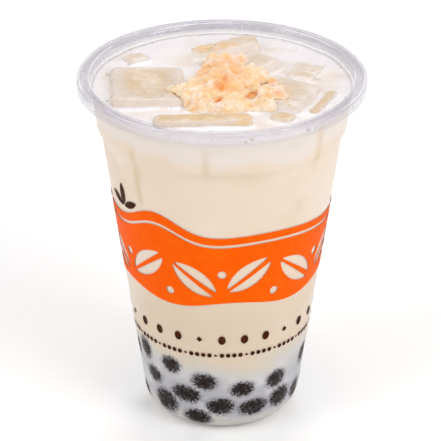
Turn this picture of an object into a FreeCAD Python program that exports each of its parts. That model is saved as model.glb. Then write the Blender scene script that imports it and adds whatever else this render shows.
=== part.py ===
import FreeCAD, Part
import math
import os
from collections import namedtuple

import Sketcher
from FreeCAD import Placement, Rotation, Vector

# A thin plastic cup of milk tea with tapioca pearls at the bottom, pieces of ice at the top and a
# crumbled topping.  The axis of the cup is Z, and the origin is the middle of its foot ring.

DIMENSIONS = {
    # cup
    "cup_height": 122.8,
    "base_radius": 26.05,
    "wall_slope": 0.1349,
    "wall": 0.65,
    "corner_radius": 8.5,
    "foot_radius": 16.6,
    "recess_radius": 15.0,
    "recess_lift": 1.8,
    "flange_radius": 47.5,
    "flange_inner": 43.0,
    "flange_sheet": 0.8,
    "skirt_drop": 3.6,
    "lip_drop": 0.5,
    "ridge_rise": 0.35,
    "shoulder_low": 103.6,
    "shoulder_high": 106.4,
    "shoulder_step": 1.0,
    # contents
    "drink_level": 118.8,
    "bed_level": 20.5,
    "pearl_radius": 4.5,
}

# Ice: name, middle of the top face, three sizes, then the turn about Z, Y and X in degrees.
Ice = namedtuple("Ice", "name x y top long wide deep yaw pitch roll")
ICE = (
    Ice("ice_left", -24.1, -3.0, 121.3, 25.0, 30.2, 13.0, 3.0, 2.0, -1.0),
    Ice("ice_back", 0.4, 28.0, 121.2, 25.0, 10.6, 15.0, 13.0, -8.7, 3.0),
    Ice("ice_middle", 9.2, 11.4, 121.6, 13.4, 21.4, 20.0, -40.7, 0.0, 2.0),
    Ice("ice_right", 21.3, -9.6, 121.6, 18.4, 22.4, 17.0, -24.3, 3.0, -2.0),
    Ice("ice_front", -6.0, -29.2, 120.9, 32.0, 8.0, 13.0, 3.0, 0.0, 4.0),
    Ice("ice_far_right", 27.4, 9.6, 119.9, 12.0, 15.0, 11.0, -24.3, 2.0, 2.0),
    Ice("ice_chip_left", -28.6, 20.4, 120.6, 9.0, 7.0, 9.0, 35.0, 4.0, 3.0),
    Ice("ice_chip_right", 32.8, -14.9, 120.2, 4.4, 20.0, 9.0, -24.3, 6.0, 0.0),
    Ice("ice_chip_front", 19.1, -26.4, 120.4, 9.0, 7.6, 9.0, -24.3, 0.0, 4.0),
)
ICE_ROUNDING = 2.2
CHIP_ROUNDING = 1.5
CHIP_SIZE = 10.0
HOLLOWED = "ice_left"
HOLLOW = {"hollow_depth": 2.0, "hollow_long": 8.5, "hollow_wide": 12.0}

# Rings of pearls on top of the bed: how many, how far the ring lies from the wall, and the
# height of its middle.  Each ring rises and falls by a wave of its own.
PearlRing = namedtuple("PearlRing", "count inset height wave turns phase")
PEARL_RINGS = (
    PearlRing(15, 4.3, 22.0, 2.4, 2, 2.0),
    PearlRing(9, 13.0, 21.0, 1.2, 3, 0.6),
    PearlRing(4, 22.0, 20.5, 0.8, 2, 1.1),
)

# The topping is a heap of overlapping domes: middle, radius and height over the drink.
Lobe = namedtuple("Lobe", "x y radius rise")
LOBES = (
    Lobe(-0.5, -1.0, 11.5, 7.2),
    Lobe(8.0, 2.0, 9.0, 5.8),
    Lobe(1.0, 13.5, 9.5, 5.6),
    Lobe(-10.5, -9.5, 9.5, 5.0),
    Lobe(15.0, -13.0, 10.0, 5.6),
    Lobe(3.0, -17.0, 8.5, 4.3),
    Lobe(-6.0, -16.5, 8.0, 3.8),
)
HEAP_MIDDLE = (2.0, -6.0)
HEAP_SPOKES = 44
HEAP_RINGS = 7
HEAP_FLOOR = 3.0
CRUMB = 0.45

document = FreeCAD.newDocument("milk_tea_cup")
sheet = document.addObject("Spreadsheet::Sheet", "Dimensions")


def fill_sheet():
    """Write every driving dimension as a plain number with its name as the alias."""
    cells = dict(DIMENSIONS)
    cells.update(HOLLOW)
    for ice in ICE:
        cells.update({f"{ice.name}_{side}": getattr(ice, side) for side in ("long", "wide", "deep")})
    for row, (alias, value) in enumerate(cells.items(), start=1):
        sheet.set(f"A{row}", alias.replace("_", " "))
        sheet.set(f"B{row}", str(value))
        sheet.setAlias(f"B{row}", alias)
    document.recompute()


def size(alias):
    """One dimension, read from the sheet."""
    return float(sheet.get(alias))


def bound(expression):
    """The same formula with each dimension named by its sheet."""
    words = sorted(DIMENSIONS, key=len, reverse=True)
    for index, word in enumerate(words):
        expression = expression.replace(word, f"<{index}>")
    for index, word in enumerate(words):
        expression = expression.replace(f"<{index}>", f"Dimensions.{word}")
    return expression


def wall_at(height, inset="0"):
    """The formula for the cup's outer radius at a height, less an inset."""
    return f"base_radius + wall_slope * ({height}) - ({inset})"


def upper_wall_at(height, inset="0"):
    """The same above the shoulder, where the wall is wider."""
    return f"{wall_at(height, inset)} + shoulder_step"


def inner_radius(height):
    """The inner radius of the cup at a height."""
    return size("base_radius") + size("wall_slope") * height - size("wall")


class Profile:
    """A closed half section in a sketch, whose corners are driven by the sheet."""

    def __init__(self, body, name, corners):
        self.sketch = body.newObject("Sketcher::SketchObject", name)
        plane = next(f for f in body.Origin.OriginFeatures if f.Role == "XZ_Plane")
        self.sketch.AttachmentSupport = (plane, "")
        self.sketch.MapMode = "FlatFace"
        self.corners = [(bound(r), bound(z), rounding and bound(rounding)) for r, z, rounding in corners]
        self.draw()

    def value(self, formula):
        """What a formula comes to now."""
        result = self.sketch.evalExpression(formula)
        return float(getattr(result, "Value", result))

    def constrain(self, formula, kind, *where):
        """Add one driving constraint and bind it to its formula."""
        index = self.sketch.addConstraint(Sketcher.Constraint(kind, *where, self.value(formula)))
        self.sketch.setExpression(f"Constraints[{index}]", formula)

    def pin(self, element, end, radius, height):
        """Hold a point at its radius and height."""
        for formula, kind, axis in ((radius, "DistanceX", -2), (height, "DistanceY", -1)):
            if self.value(formula) == 0:
                self.sketch.addConstraint(Sketcher.Constraint("PointOnObject", element, end, axis))
            else:
                self.constrain(formula, kind, -1, 1, element, end)

    def draw(self):
        """Lay the edges from corner to corner, with an arc in each rounded one."""
        points = [Vector(self.value(r), self.value(z), 0) for r, z, _ in self.corners]
        count = len(points)
        starts, ends, arcs = list(points), list(points), {}
        for i, (_, _, rounding) in enumerate(self.corners):
            if rounding is None:
                continue
            radius = self.value(rounding)
            back = (points[i - 1] - points[i]).normalize()
            ahead = (points[(i + 1) % count] - points[i]).normalize()
            half = back.getAngle(ahead) / 2
            ends[i] = points[i] + back * (radius / math.tan(half))
            starts[i] = points[i] + ahead * (radius / math.tan(half))
            middle = points[i] + (back + ahead).normalize() * (radius / math.sin(half))
            nearest = middle + (points[i] - middle).normalize() * radius
            arcs[i] = Part.Arc(ends[i], nearest, starts[i])
        lines = [
            self.sketch.addGeometry(Part.LineSegment(starts[i], ends[(i + 1) % count]))
            for i in range(count)
        ]
        for i, (radius, height, rounding) in enumerate(self.corners):
            before, after = lines[i - 1], lines[i]
            if i not in arcs:
                self.sketch.addConstraint(Sketcher.Constraint("Coincident", before, 2, after, 1))
                self.pin(after, 1, radius, height)
                continue
            arc = self.sketch.addGeometry(arcs[i])
            corner = self.sketch.addGeometry(Part.Point(points[i]), True)
            leads = self.sketch.getPoint(arc, 1).distanceToPoint(ends[i]) < 1e-6
            near, far = (1, 2) if leads else (2, 1)
            self.sketch.addConstraint(Sketcher.Constraint("Tangent", before, 2, arc, near))
            self.sketch.addConstraint(Sketcher.Constraint("Tangent", arc, far, after, 1))
            self.sketch.addConstraint(Sketcher.Constraint("PointOnObject", corner, 1, before))
            self.sketch.addConstraint(Sketcher.Constraint("PointOnObject", corner, 1, after))
            self.pin(corner, 1, radius, height)
            self.constrain(rounding, "Radius", arc)


def turned_body(name, corners):
    """A body of revolution about Z from a half section."""
    body = document.addObject("PartDesign::Body", name)
    profile = Profile(body, f"{name}_section", corners)
    document.recompute()
    turn = body.newObject("PartDesign::Revolution", f"{name}_turn")
    turn.Profile = profile.sketch
    turn.ReferenceAxis = (profile.sketch, ["V_Axis"])
    turn.Angle = 360
    profile.sketch.Visibility = False
    document.recompute()
    return body


def inside_section(level):
    """The half section of what fills the cup up to a level."""
    section = [
        ("0", "recess_lift + wall", None),
        ("recess_radius", "recess_lift + wall", None),
        ("foot_radius", "wall", None),
        (wall_at("wall", "wall"), "wall", "corner_radius - wall"),
    ]
    if size(level) > size("shoulder_high"):
        section += [
            (wall_at("shoulder_low", "wall"), "shoulder_low", None),
            (upper_wall_at("shoulder_high", "wall"), "shoulder_high", None),
            (upper_wall_at(level, "wall"), level, None),
        ]
    else:
        section.append((wall_at(level, "wall"), level, None))
    section.append(("0", level, None))
    return section


def make_cup():
    """The cup: a thin tapered wall with a shoulder, a raised base and a flat flange with a skirt."""
    neck = "cup_height - flange_sheet"
    return turned_body(
        "cup",
        [
            ("0", "recess_lift", None),
            ("recess_radius", "recess_lift", None),
            ("foot_radius", "0", None),
            ("base_radius", "0", "corner_radius"),
            (wall_at("shoulder_low"), "shoulder_low", None),
            (upper_wall_at("shoulder_high"), "shoulder_high", None),
            (upper_wall_at(neck), neck, None),
            ("flange_radius - flange_sheet", neck, None),
            ("flange_radius - flange_sheet", "cup_height - skirt_drop", None),
            ("flange_radius", "cup_height - skirt_drop", None),
            ("flange_radius", "cup_height - lip_drop", None),
            ("flange_radius - lip_drop", "cup_height", None),
            ("flange_inner + 3 * ridge_rise", "cup_height", None),
            ("flange_inner + ridge_rise", "cup_height", None),
            (upper_wall_at(neck, "wall"), "cup_height - flange_sheet - lip_drop", None),
            (upper_wall_at("shoulder_high", "wall"), "shoulder_high", None),
            (wall_at("shoulder_low", "wall"), "shoulder_low", None),
            (wall_at("wall", "wall"), "wall", "corner_radius - wall"),
            ("foot_radius", "wall", None),
            ("recess_radius", "recess_lift + wall", None),
            ("0", "recess_lift + wall", None),
        ],
    )


def make_ice(ice):
    """One piece of ice: a rounded box with its top face set in place, one of them hollowed."""
    block = document.addObject("Part::Box", f"{ice.name}_block")
    for side, word in (("Length", "long"), ("Width", "wide"), ("Height", "deep")):
        block.setExpression(side, f"Dimensions.{ice.name}_{word}")
    seat = Placement(Vector(ice.x, ice.y, ice.top), Rotation(ice.yaw, ice.pitch, ice.roll))
    block.Placement = seat * Placement(Vector(-ice.long / 2, -ice.wide / 2, -ice.deep), Rotation())
    if ice.name == HOLLOWED:
        bowl = document.addObject("Part::Ellipsoid", f"{ice.name}_bowl")
        bowl.setExpression("Radius1", "Dimensions.hollow_depth")
        bowl.setExpression("Radius2", "Dimensions.hollow_long")
        bowl.setExpression("Radius3", "Dimensions.hollow_wide")
        bowl.Placement = seat
        hollowed = document.addObject("Part::Cut", f"{ice.name}_hollowed")
        hollowed.Base = block
        hollowed.Tool = bowl
        block = hollowed
    document.recompute()
    rounding = CHIP_ROUNDING if min(ice.long, ice.wide) < CHIP_SIZE else ICE_ROUNDING
    rounded = document.addObject("Part::Fillet", ice.name)
    rounded.Base = block
    rounded.Edges = [
        (number, rounding, rounding)
        for number, edge in enumerate(block.Shape.Edges, start=1)
        if not edge.Degenerated and isinstance(edge.Curve, Part.Line)
    ]
    return rounded


def make_tapioca(filling):
    """The bed of pearls: a turned core with rings of pearls on it, kept inside the cup."""
    core = turned_body("pearl_core", inside_section("bed_level"))
    pieces = [core]
    for level, ring in enumerate(PEARL_RINGS):
        for number in range(ring.count):
            angle = 2 * math.pi * (number + level / 2) / ring.count
            height = ring.height + ring.wave * math.sin(ring.turns * angle + ring.phase)
            reach = inner_radius(height) - ring.inset
            pearl = document.addObject("Part::Sphere", f"pearl_{level}_{number}")
            pearl.setExpression("Radius", bound("pearl_radius"))
            pearl.Placement.Base = Vector(reach * math.cos(angle), reach * math.sin(angle), height)
            pieces.append(pearl)
    heap = document.addObject("Part::MultiFuse", "pearl_heap")
    heap.Shapes = pieces
    bed = document.addObject("Part::Common", "tapioca_pearls")
    bed.Base = heap
    bed.Tool = filling
    return bed


def heap_edge(angle):
    """How far the topping reaches from its middle in one direction."""
    ahead = Vector(math.cos(angle), math.sin(angle), 0)
    reach = 0
    for lobe in LOBES:
        to_lobe = Vector(lobe.x - HEAP_MIDDLE[0], lobe.y - HEAP_MIDDLE[1], 0)
        along = to_lobe.dot(ahead)
        aside = lobe.radius**2 - (to_lobe.dot(to_lobe) - along**2)
        if aside > 0:
            reach = max(reach, along + math.sqrt(aside))
    return reach * (1 + 0.03 * math.sin(5 * angle) + 0.025 * math.sin(11 * angle + 1))


def heap_point(angle, share):
    """A point on top of the topping, a share of the way from its middle to its edge."""
    reach = heap_edge(angle) * share
    x = HEAP_MIDDLE[0] + reach * math.cos(angle)
    y = HEAP_MIDDLE[1] + reach * math.sin(angle)
    rise = HEAP_FLOOR * (1 - share**2)
    for lobe in LOBES:
        away = math.hypot(x - lobe.x, y - lobe.y) / lobe.radius
        if away < 1:
            rise = max(rise, lobe.rise * math.sqrt(1 - away**2))
    rise += CRUMB * (1 - share**4) * math.sin(1.1 * x + 0.7 * y) * math.sin(0.8 * x - 1.2 * y + 1)
    return Vector(x, y, size("drink_level") + (rise if share < 1 else 0))


def triangle(*corners):
    """A flat face on three points."""
    return Part.Face(Part.makePolygon([*corners, corners[0]]))


def make_crumble(ice_shapes):
    """The topping: a faceted heap that stands on the drink and fits over the ice."""
    turns = [2 * math.pi * i / HEAP_SPOKES for i in range(HEAP_SPOKES)]
    rings = [[heap_point(turn, (k + 1) / HEAP_RINGS) for turn in turns] for k in range(HEAP_RINGS)]
    peak = heap_point(0, 0)
    floor = Vector(peak.x, peak.y, size("drink_level"))
    faces = []
    for i in range(HEAP_SPOKES):
        j = (i + 1) % HEAP_SPOKES
        faces.append(triangle(peak, rings[0][i], rings[0][j]))
        for inner, outer in zip(rings, rings[1:]):
            faces.append(triangle(inner[i], outer[i], outer[j]))
            faces.append(triangle(inner[i], outer[j], inner[j]))
        faces.append(triangle(floor, rings[-1][j], rings[-1][i]))
    heap = Part.Solid(Part.Shell(faces))
    if heap.Volume < 0:
        heap.reverse()
    pieces = heap.cut(ice_shapes).Solids
    crumble = document.addObject("Part::Feature", "crumble")
    crumble.Shape = max(pieces, key=lambda piece: piece.Volume)
    crumble.Placement = Placement()
    return crumble


def make_drink(filling, sunk):
    """The milk tea: what fills the cup, less what stands in it."""
    contents = document.addObject("Part::Compound", "sunk")
    contents.Links = sunk
    drink = document.addObject("Part::Cut", "milk_tea")
    drink.Base = filling
    drink.Tool = contents
    return drink


def check(parts):
    """Stop if any object failed, or if a part isn't one valid solid."""
    failed = [o.Name for o in document.Objects if {"Invalid", "Error"} & set(o.State)]
    if failed:
        raise RuntimeError(f"failed objects: {failed}")
    for part in parts:
        shape = part.Shape
        if shape.isNull() or not shape.isValid() or len(shape.Solids) != 1 or shape.Volume <= 0:
            raise RuntimeError(f"{part.Label}: not one valid solid ({len(shape.Solids)})")
        print(f"{part.Label:16s} {shape.Volume / 1000:8.2f} cm3")


def main():
    """Build every part, check it and write it."""
    fill_sheet()
    cup = make_cup()
    filling = turned_body("filling", inside_section("drink_level"))
    ice = [make_ice(piece) for piece in ICE]
    tapioca = make_tapioca(filling)
    document.recompute()
    crumble = make_crumble([piece.Shape for piece in ice])
    drink = make_drink(filling, [tapioca, *ice])
    document.recompute()
    parts = [cup, drink, tapioca, crumble, *ice]
    for part in parts:
        part.Label = part.Name
    check(parts)
    os.makedirs("parts", exist_ok=True)
    for part in parts:
        part.Shape.exportStep(f"parts/{part.Label}.step")


main()
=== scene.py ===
import logging
import math
from collections.abc import Callable, Iterable
from dataclasses import dataclass, field
from enum import Enum
from typing import NamedTuple

import bmesh
import bpy
import numpy as np
from mathutils import Euler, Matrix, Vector, noise
from mathutils.bvhtree import BVHTree


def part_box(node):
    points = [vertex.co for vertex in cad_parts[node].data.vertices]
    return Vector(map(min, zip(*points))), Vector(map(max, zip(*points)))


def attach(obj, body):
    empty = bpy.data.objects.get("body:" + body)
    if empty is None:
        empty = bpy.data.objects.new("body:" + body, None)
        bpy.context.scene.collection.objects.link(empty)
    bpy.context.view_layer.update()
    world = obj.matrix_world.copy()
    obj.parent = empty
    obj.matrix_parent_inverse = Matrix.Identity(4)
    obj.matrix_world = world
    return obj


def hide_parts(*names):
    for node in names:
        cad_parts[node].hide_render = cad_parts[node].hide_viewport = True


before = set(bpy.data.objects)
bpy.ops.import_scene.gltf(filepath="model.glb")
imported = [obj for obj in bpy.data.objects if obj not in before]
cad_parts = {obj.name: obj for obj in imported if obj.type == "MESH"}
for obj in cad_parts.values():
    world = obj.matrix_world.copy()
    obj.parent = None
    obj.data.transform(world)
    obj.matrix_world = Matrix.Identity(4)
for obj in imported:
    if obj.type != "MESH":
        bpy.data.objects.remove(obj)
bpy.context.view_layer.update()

MM = 0.001
SAME_PLACE = 0.002
FULL_TURN = 2 * math.pi
SEED = 7
LOG = logging.getLogger("milk_tea")

Colour = tuple[float, float, float, float]
Socket = bpy.types.NodeSocket


def linear(red: float, green: float, blue: float) -> Colour:
    """A colour written from 0 to 255, as the linear values that shaders take."""
    parts = [value / 255 for value in (red, green, blue)]
    turned = [p / 12.92 if p <= 0.04045 else ((p + 0.055) / 1.055) ** 2.4 for p in parts]
    return (*turned, 1.0)


# ---------------------------------------------------------------- node trees


class Patches(NamedTuple):
    """Soft patches: how fine they are, and the noise levels where they start and where they are full."""

    scale: float
    low: float
    high: float


class Nodes:
    """Adds nodes to one tree, joined by the sockets that are passed as their inputs."""

    def __init__(self, tree: bpy.types.NodeTree) -> None:
        """Start on a tree.

        Args:
            tree: The shader or geometry tree that the nodes go in.
        """
        self.tree = tree

    def add(self, kind: str, inputs: dict | None = None, **settings: object) -> bpy.types.Node:
        """Add one node.

        Args:
            kind: The node's type.
            inputs: What each input gets, by name or number: a socket is linked, a value is set.
            settings: The node's own properties.

        Returns:
            The new node.
        """
        node = self.tree.nodes.new(kind)
        for key, value in settings.items():
            setattr(node, key, value)
        for key, value in (inputs or {}).items():
            if isinstance(value, bpy.types.NodeSocket):
                self.tree.links.new(value, node.inputs[key])
            else:
                node.inputs[key].default_value = value
        return node

    def math(self, operation: str, *values: float | Socket) -> Socket:
        """One sum on numbers."""
        return self.add("ShaderNodeMath", dict(enumerate(values)), operation=operation).outputs[0]

    def ramp(self, value: Socket, low: float, high: float, to: tuple[float, float]) -> Socket:
        """A smooth change from one number to another while value goes from low to high."""
        inputs = {0: value, 1: low, 2: high, 3: to[0], 4: to[1]}
        return self.add("ShaderNodeMapRange", inputs, interpolation_type="SMOOTHSTEP").outputs[0]

    def blend(self, share: float | Socket, first: Colour | Socket, second: Colour | Socket) -> Socket:
        """A mix of two colours."""
        inputs = {0: share, 6: first, 7: second}
        return self.add("ShaderNodeMix", inputs, data_type="RGBA").outputs[2]

    def axes(self, vector: Socket) -> tuple[Socket, Socket, Socket]:
        """The three parts of a vector."""
        outputs = self.add("ShaderNodeSeparateXYZ", {0: vector}).outputs
        return outputs[0], outputs[1], outputs[2]

    def vector(self, x: float | Socket, y: float | Socket, z: float | Socket) -> Socket:
        """A vector from its three parts."""
        return self.add("ShaderNodeCombineXYZ", {0: x, 1: y, 2: z}).outputs[0]

    def hand_out(self, geometry: Socket, material: Socket) -> None:
        """Shade a geometry smooth, give it its material and end the tree with it."""
        smooth = self.add("GeometryNodeSetShadeSmooth", {0: geometry}).outputs[0]
        dressed = self.add("GeometryNodeSetMaterial", {"Geometry": smooth, "Material": material})
        self.add("NodeGroupOutput", {0: dressed.outputs[0]})


def new_tree(name: str, kind: str, inputs: dict[str, str | tuple[str, object]]) -> bpy.types.NodeTree:
    """A tree with named inputs and one output, which is a geometry or, in a shader tree, a mask.

    Args:
        name: The tree's name.
        kind: Geometry or Shader.
        inputs: Each input's type, with what it holds at first where that matters.

    Returns:
        The tree.
    """
    tree = bpy.data.node_groups.new(name, f"{kind}NodeTree")
    for label, given in inputs.items():
        socket, *value = (given,) if isinstance(given, str) else given
        made = tree.interface.new_socket(name=label, in_out="INPUT", socket_type=f"NodeSocket{socket}")
        if value:
            made.default_value = value[0]
    label, socket = ("Geometry", "Geometry") if kind == "Geometry" else ("Mask", "Float")
    tree.interface.new_socket(name=label, in_out="OUTPUT", socket_type=f"NodeSocket{socket}")
    return tree


class ShaderGroups:
    """The effects that several finishes share."""

    def __init__(self) -> None:
        """Build each group once."""
        self.mottle = self.mottle_group()
        self.band = self.band_group()

    def mottle_group(self) -> bpy.types.NodeTree:
        """Soft patches: a mask from noise, between two levels."""
        inputs = {"Place": "Vector", "Scale": "Float", "Low": "Float", "High": "Float"}
        tree = new_tree("soft_patches", "Shader", inputs)
        nodes = Nodes(tree)
        given = nodes.add("NodeGroupInput").outputs
        patches = nodes.add("ShaderNodeTexNoise", {"Vector": given[0], "Scale": given[1], "Detail": 4.0})
        inputs = {0: patches.outputs[0], 1: given[2], 2: given[3]}
        mask = nodes.add("ShaderNodeMapRange", inputs, interpolation_type="SMOOTHSTEP")
        nodes.add("NodeGroupOutput", {0: mask.outputs[0]})
        return tree

    def band_group(self) -> bpy.types.NodeTree:
        """A soft-edged band: a mask that is 1 near a middle value."""
        inputs = {"Value": "Float", "Middle": "Float", "Reach": ("Float", 1.0)}
        tree = new_tree("soft_band", "Shader", inputs)
        nodes = Nodes(tree)
        given = nodes.add("NodeGroupInput").outputs
        away = nodes.math("ABSOLUTE", nodes.math("SUBTRACT", given[0], given[1]))
        share = nodes.math("DIVIDE", away, given[2])
        nodes.add("NodeGroupOutput", {0: nodes.ramp(share, 0.0, 1.0, (1.0, 0.0))})
        return tree


class Surface(Nodes):
    """A material being built: its nodes, its places and its shared effects."""

    def __init__(self, name: str, groups: ShaderGroups) -> None:
        """Start an empty material.

        Args:
            name: The material's name.
            groups: The shared effects.
        """
        self.material = bpy.data.materials.new(name)
        self.material.use_nodes = True
        super().__init__(self.material.node_tree)
        self.tree.nodes.clear()
        self.groups = groups
        self.place = self.add("ShaderNodeTexCoord").outputs["Object"]
        self.across, self.along, self.height = self.axes(self.place)

    def group(self, tree: bpy.types.NodeTree, inputs: dict) -> Socket:
        """One placed group's mask."""
        return self.add("ShaderNodeGroup", inputs, node_tree=tree).outputs[0]

    def patches(self, patches: Patches) -> Socket:
        """A mask of soft patches over the surface."""
        inputs = {"Place": self.place, "Scale": patches.scale, "Low": patches.low, "High": patches.high}
        return self.group(self.groups.mottle, inputs)

    def rough(self, patches: Patches, limits: tuple[float, float]) -> Socket:
        """A value that goes from one limit to the other in soft patches."""
        return self.ramp(self.patches(patches), 0.0, 1.0, limits)

    def between(self, value: Socket, reach: tuple[float, float], to: tuple[float, float]) -> Socket:
        """A smooth change while value goes over a reach that is given in millimetres."""
        return self.ramp(value, reach[0] * MM, reach[1] * MM, to)

    def band(self, value: Socket, middle: float, reach: float) -> Socket:
        """A soft band where value is near a middle."""
        return self.group(self.groups.band, {"Value": value, "Middle": middle, "Reach": reach})

    def attribute(self, name: str) -> Socket:
        """A number kept on the mesh."""
        return self.add("ShaderNodeAttribute", attribute_name=name).outputs["Fac"]

    def bump(self, height: Socket, distance: float, strength: float = 1.0) -> Socket:
        """A normal from a height."""
        inputs = {"Height": height, "Distance": distance, "Strength": strength}
        return self.add("ShaderNodeBump", inputs).outputs[0]

    def grain(self, scale: float) -> Socket:
        """Fine noise, for a bump."""
        inputs = {"Vector": self.place, "Scale": scale, "Detail": 3.0}
        return self.add("ShaderNodeTexNoise", inputs).outputs[0]

    def close(self, shader: Socket) -> bpy.types.Material:
        """Join the last shader to the output."""
        self.add("ShaderNodeOutputMaterial", {"Surface": shader})
        return self.material

    def principled(self, inputs: dict) -> bpy.types.Material:
        """Close the material with one Principled shader."""
        return self.close(self.add("ShaderNodeBsdfPrincipled", inputs).outputs[0])


# ---------------------------------------------------------------- finishes


@dataclass(frozen=True)
class PlasticFinish:
    """Thin, slightly milky polypropylene: hazy where it is dry, clear where the drink wets it, with painted
    highlights on two rings of the rim's top.
    """

    tint: Colour = linear(187, 180, 191)
    # Colour of the painted highlights on the rim's top.
    painted_glint: Colour = linear(252, 250, 253)
    film: Colour = linear(234, 227, 226)
    wet: float = 0.015
    dry: float = 0.33
    skirt: float = 0.22
    wet_line: tuple[float, float] = (118.8, 120.0)
    film_top: tuple[float, float] = (119.4, 121.0)
    fade: tuple[float, float] = (0.45, 1.2)
    fade_along: tuple[float, float] = (-46.2, -13.86)
    flange: float = 0.42
    flange_from: tuple[float, float] = (43.0, 44.2)
    shadow_share: float = 0.35
    skirt_from: tuple[float, float] = (44.8, 46.2)
    skirt_top: tuple[float, float] = (121.5, 122.3)
    # Radius and width of the two rings on the rim's top that get painted highlights, in millimetres.
    ridges: tuple[tuple[float, float], ...] = ((43.6, 0.3), (46.75, 0.4))
    glint_share: float = 0.4
    glints: Patches = Patches(55, 0.42, 0.6)
    clouds: Patches = Patches(70, 0.3, 0.7)
    cloud_limits: tuple[float, float] = (0.88, 1.12)
    dull: Patches = Patches(400, 0.35, 0.65)
    dull_limits: tuple[float, float] = (0.1, 0.18)

    def material(self, groups: ShaderGroups) -> bpy.types.Material:
        """The cup's material."""
        surface = Surface("cup_plastic", groups)
        flat = surface.vector(surface.across, surface.along, 0.0)
        reach = surface.add("ShaderNodeVectorMath", {0: flat}, operation="LENGTH").outputs["Value"]
        haze = surface.between(surface.height, self.wet_line, (self.wet, self.dry))
        on_flange = surface.between(reach, self.flange_from, (0.0, 1.0))
        thicker = surface.math("SUBTRACT", self.flange, haze)
        haze = surface.math("MULTIPLY_ADD", on_flange, thicker, haze)
        hangs = surface.math(
            "MULTIPLY",
            surface.between(reach, self.skirt_from, (0.0, 1.0)),
            surface.between(surface.height, self.skirt_top, (1.0, 0.0)),
        )
        thinner = surface.math("SUBTRACT", self.skirt, haze)
        haze = surface.math("MULTIPLY_ADD", hangs, thinner, haze)
        # Painted highlights: two bright rings on the flange's top, broken into patches, where the plastic is
        # also made less clear.
        painted_glint_mask = 0.0
        for middle, width in self.ridges:
            painted_glint_mask = surface.math("MAXIMUM", painted_glint_mask, surface.band(reach, middle * MM, width * MM))
        on_top = surface.between(surface.height, self.skirt_top, (0.0, 1.0))
        painted_glint_mask = surface.math("MULTIPLY", painted_glint_mask, on_top)
        painted_glint_mask = surface.math("MULTIPLY", painted_glint_mask, surface.patches(self.glints))
        cloud = surface.rough(self.clouds, self.cloud_limits)
        turned = surface.between(surface.along, self.fade_along, self.fade)
        haze = surface.math("MULTIPLY", haze, turned)
        glow = surface.math("MULTIPLY", painted_glint_mask, self.glint_share)
        alpha = surface.math("MULTIPLY_ADD", haze, cloud, glow)
        shadow = surface.add("ShaderNodeLightPath").outputs["Is Shadow Ray"]
        alpha = surface.math("MULTIPLY", alpha, surface.ramp(shadow, 0.0, 1.0, (1.0, self.shadow_share)))
        filmed = surface.between(surface.height, self.film_top, (1.0, 0.0))
        inside = surface.between(reach, self.skirt_from, (1.0, 0.0))
        filmed = surface.math("MULTIPLY", filmed, inside)
        colour = surface.blend(filmed, self.tint, self.film)
        return surface.principled(
            {
                "Base Color": surface.blend(painted_glint_mask, colour, self.painted_glint),
                "Roughness": surface.rough(self.dull, self.dull_limits),
                "IOR": 1.49,
                "Specular IOR Level": 0.8,
                "Alpha": alpha,
                "Normal": surface.bump(surface.grain(900), 0.00002),
            }
        )


@dataclass(frozen=True)
class InkFinish:
    """Printing ink: an even colour, a little thinner in places."""

    name: str
    full: Colour
    thin: Colour
    worn: Patches = Patches(260, 0.45, 0.75)

    def material(self, groups: ShaderGroups) -> bpy.types.Material:
        """The print's material."""
        surface = Surface(self.name, groups)
        worn = surface.patches(self.worn)
        return surface.principled(
            {
                "Base Color": surface.blend(worn, self.full, self.thin),
                "Roughness": surface.ramp(worn, 0.0, 1.0, (0.42, 0.52)),
                "Specular IOR Level": 0.03,
                "Normal": surface.bump(surface.grain(2500), 0.00002),
            }
        )


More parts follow.
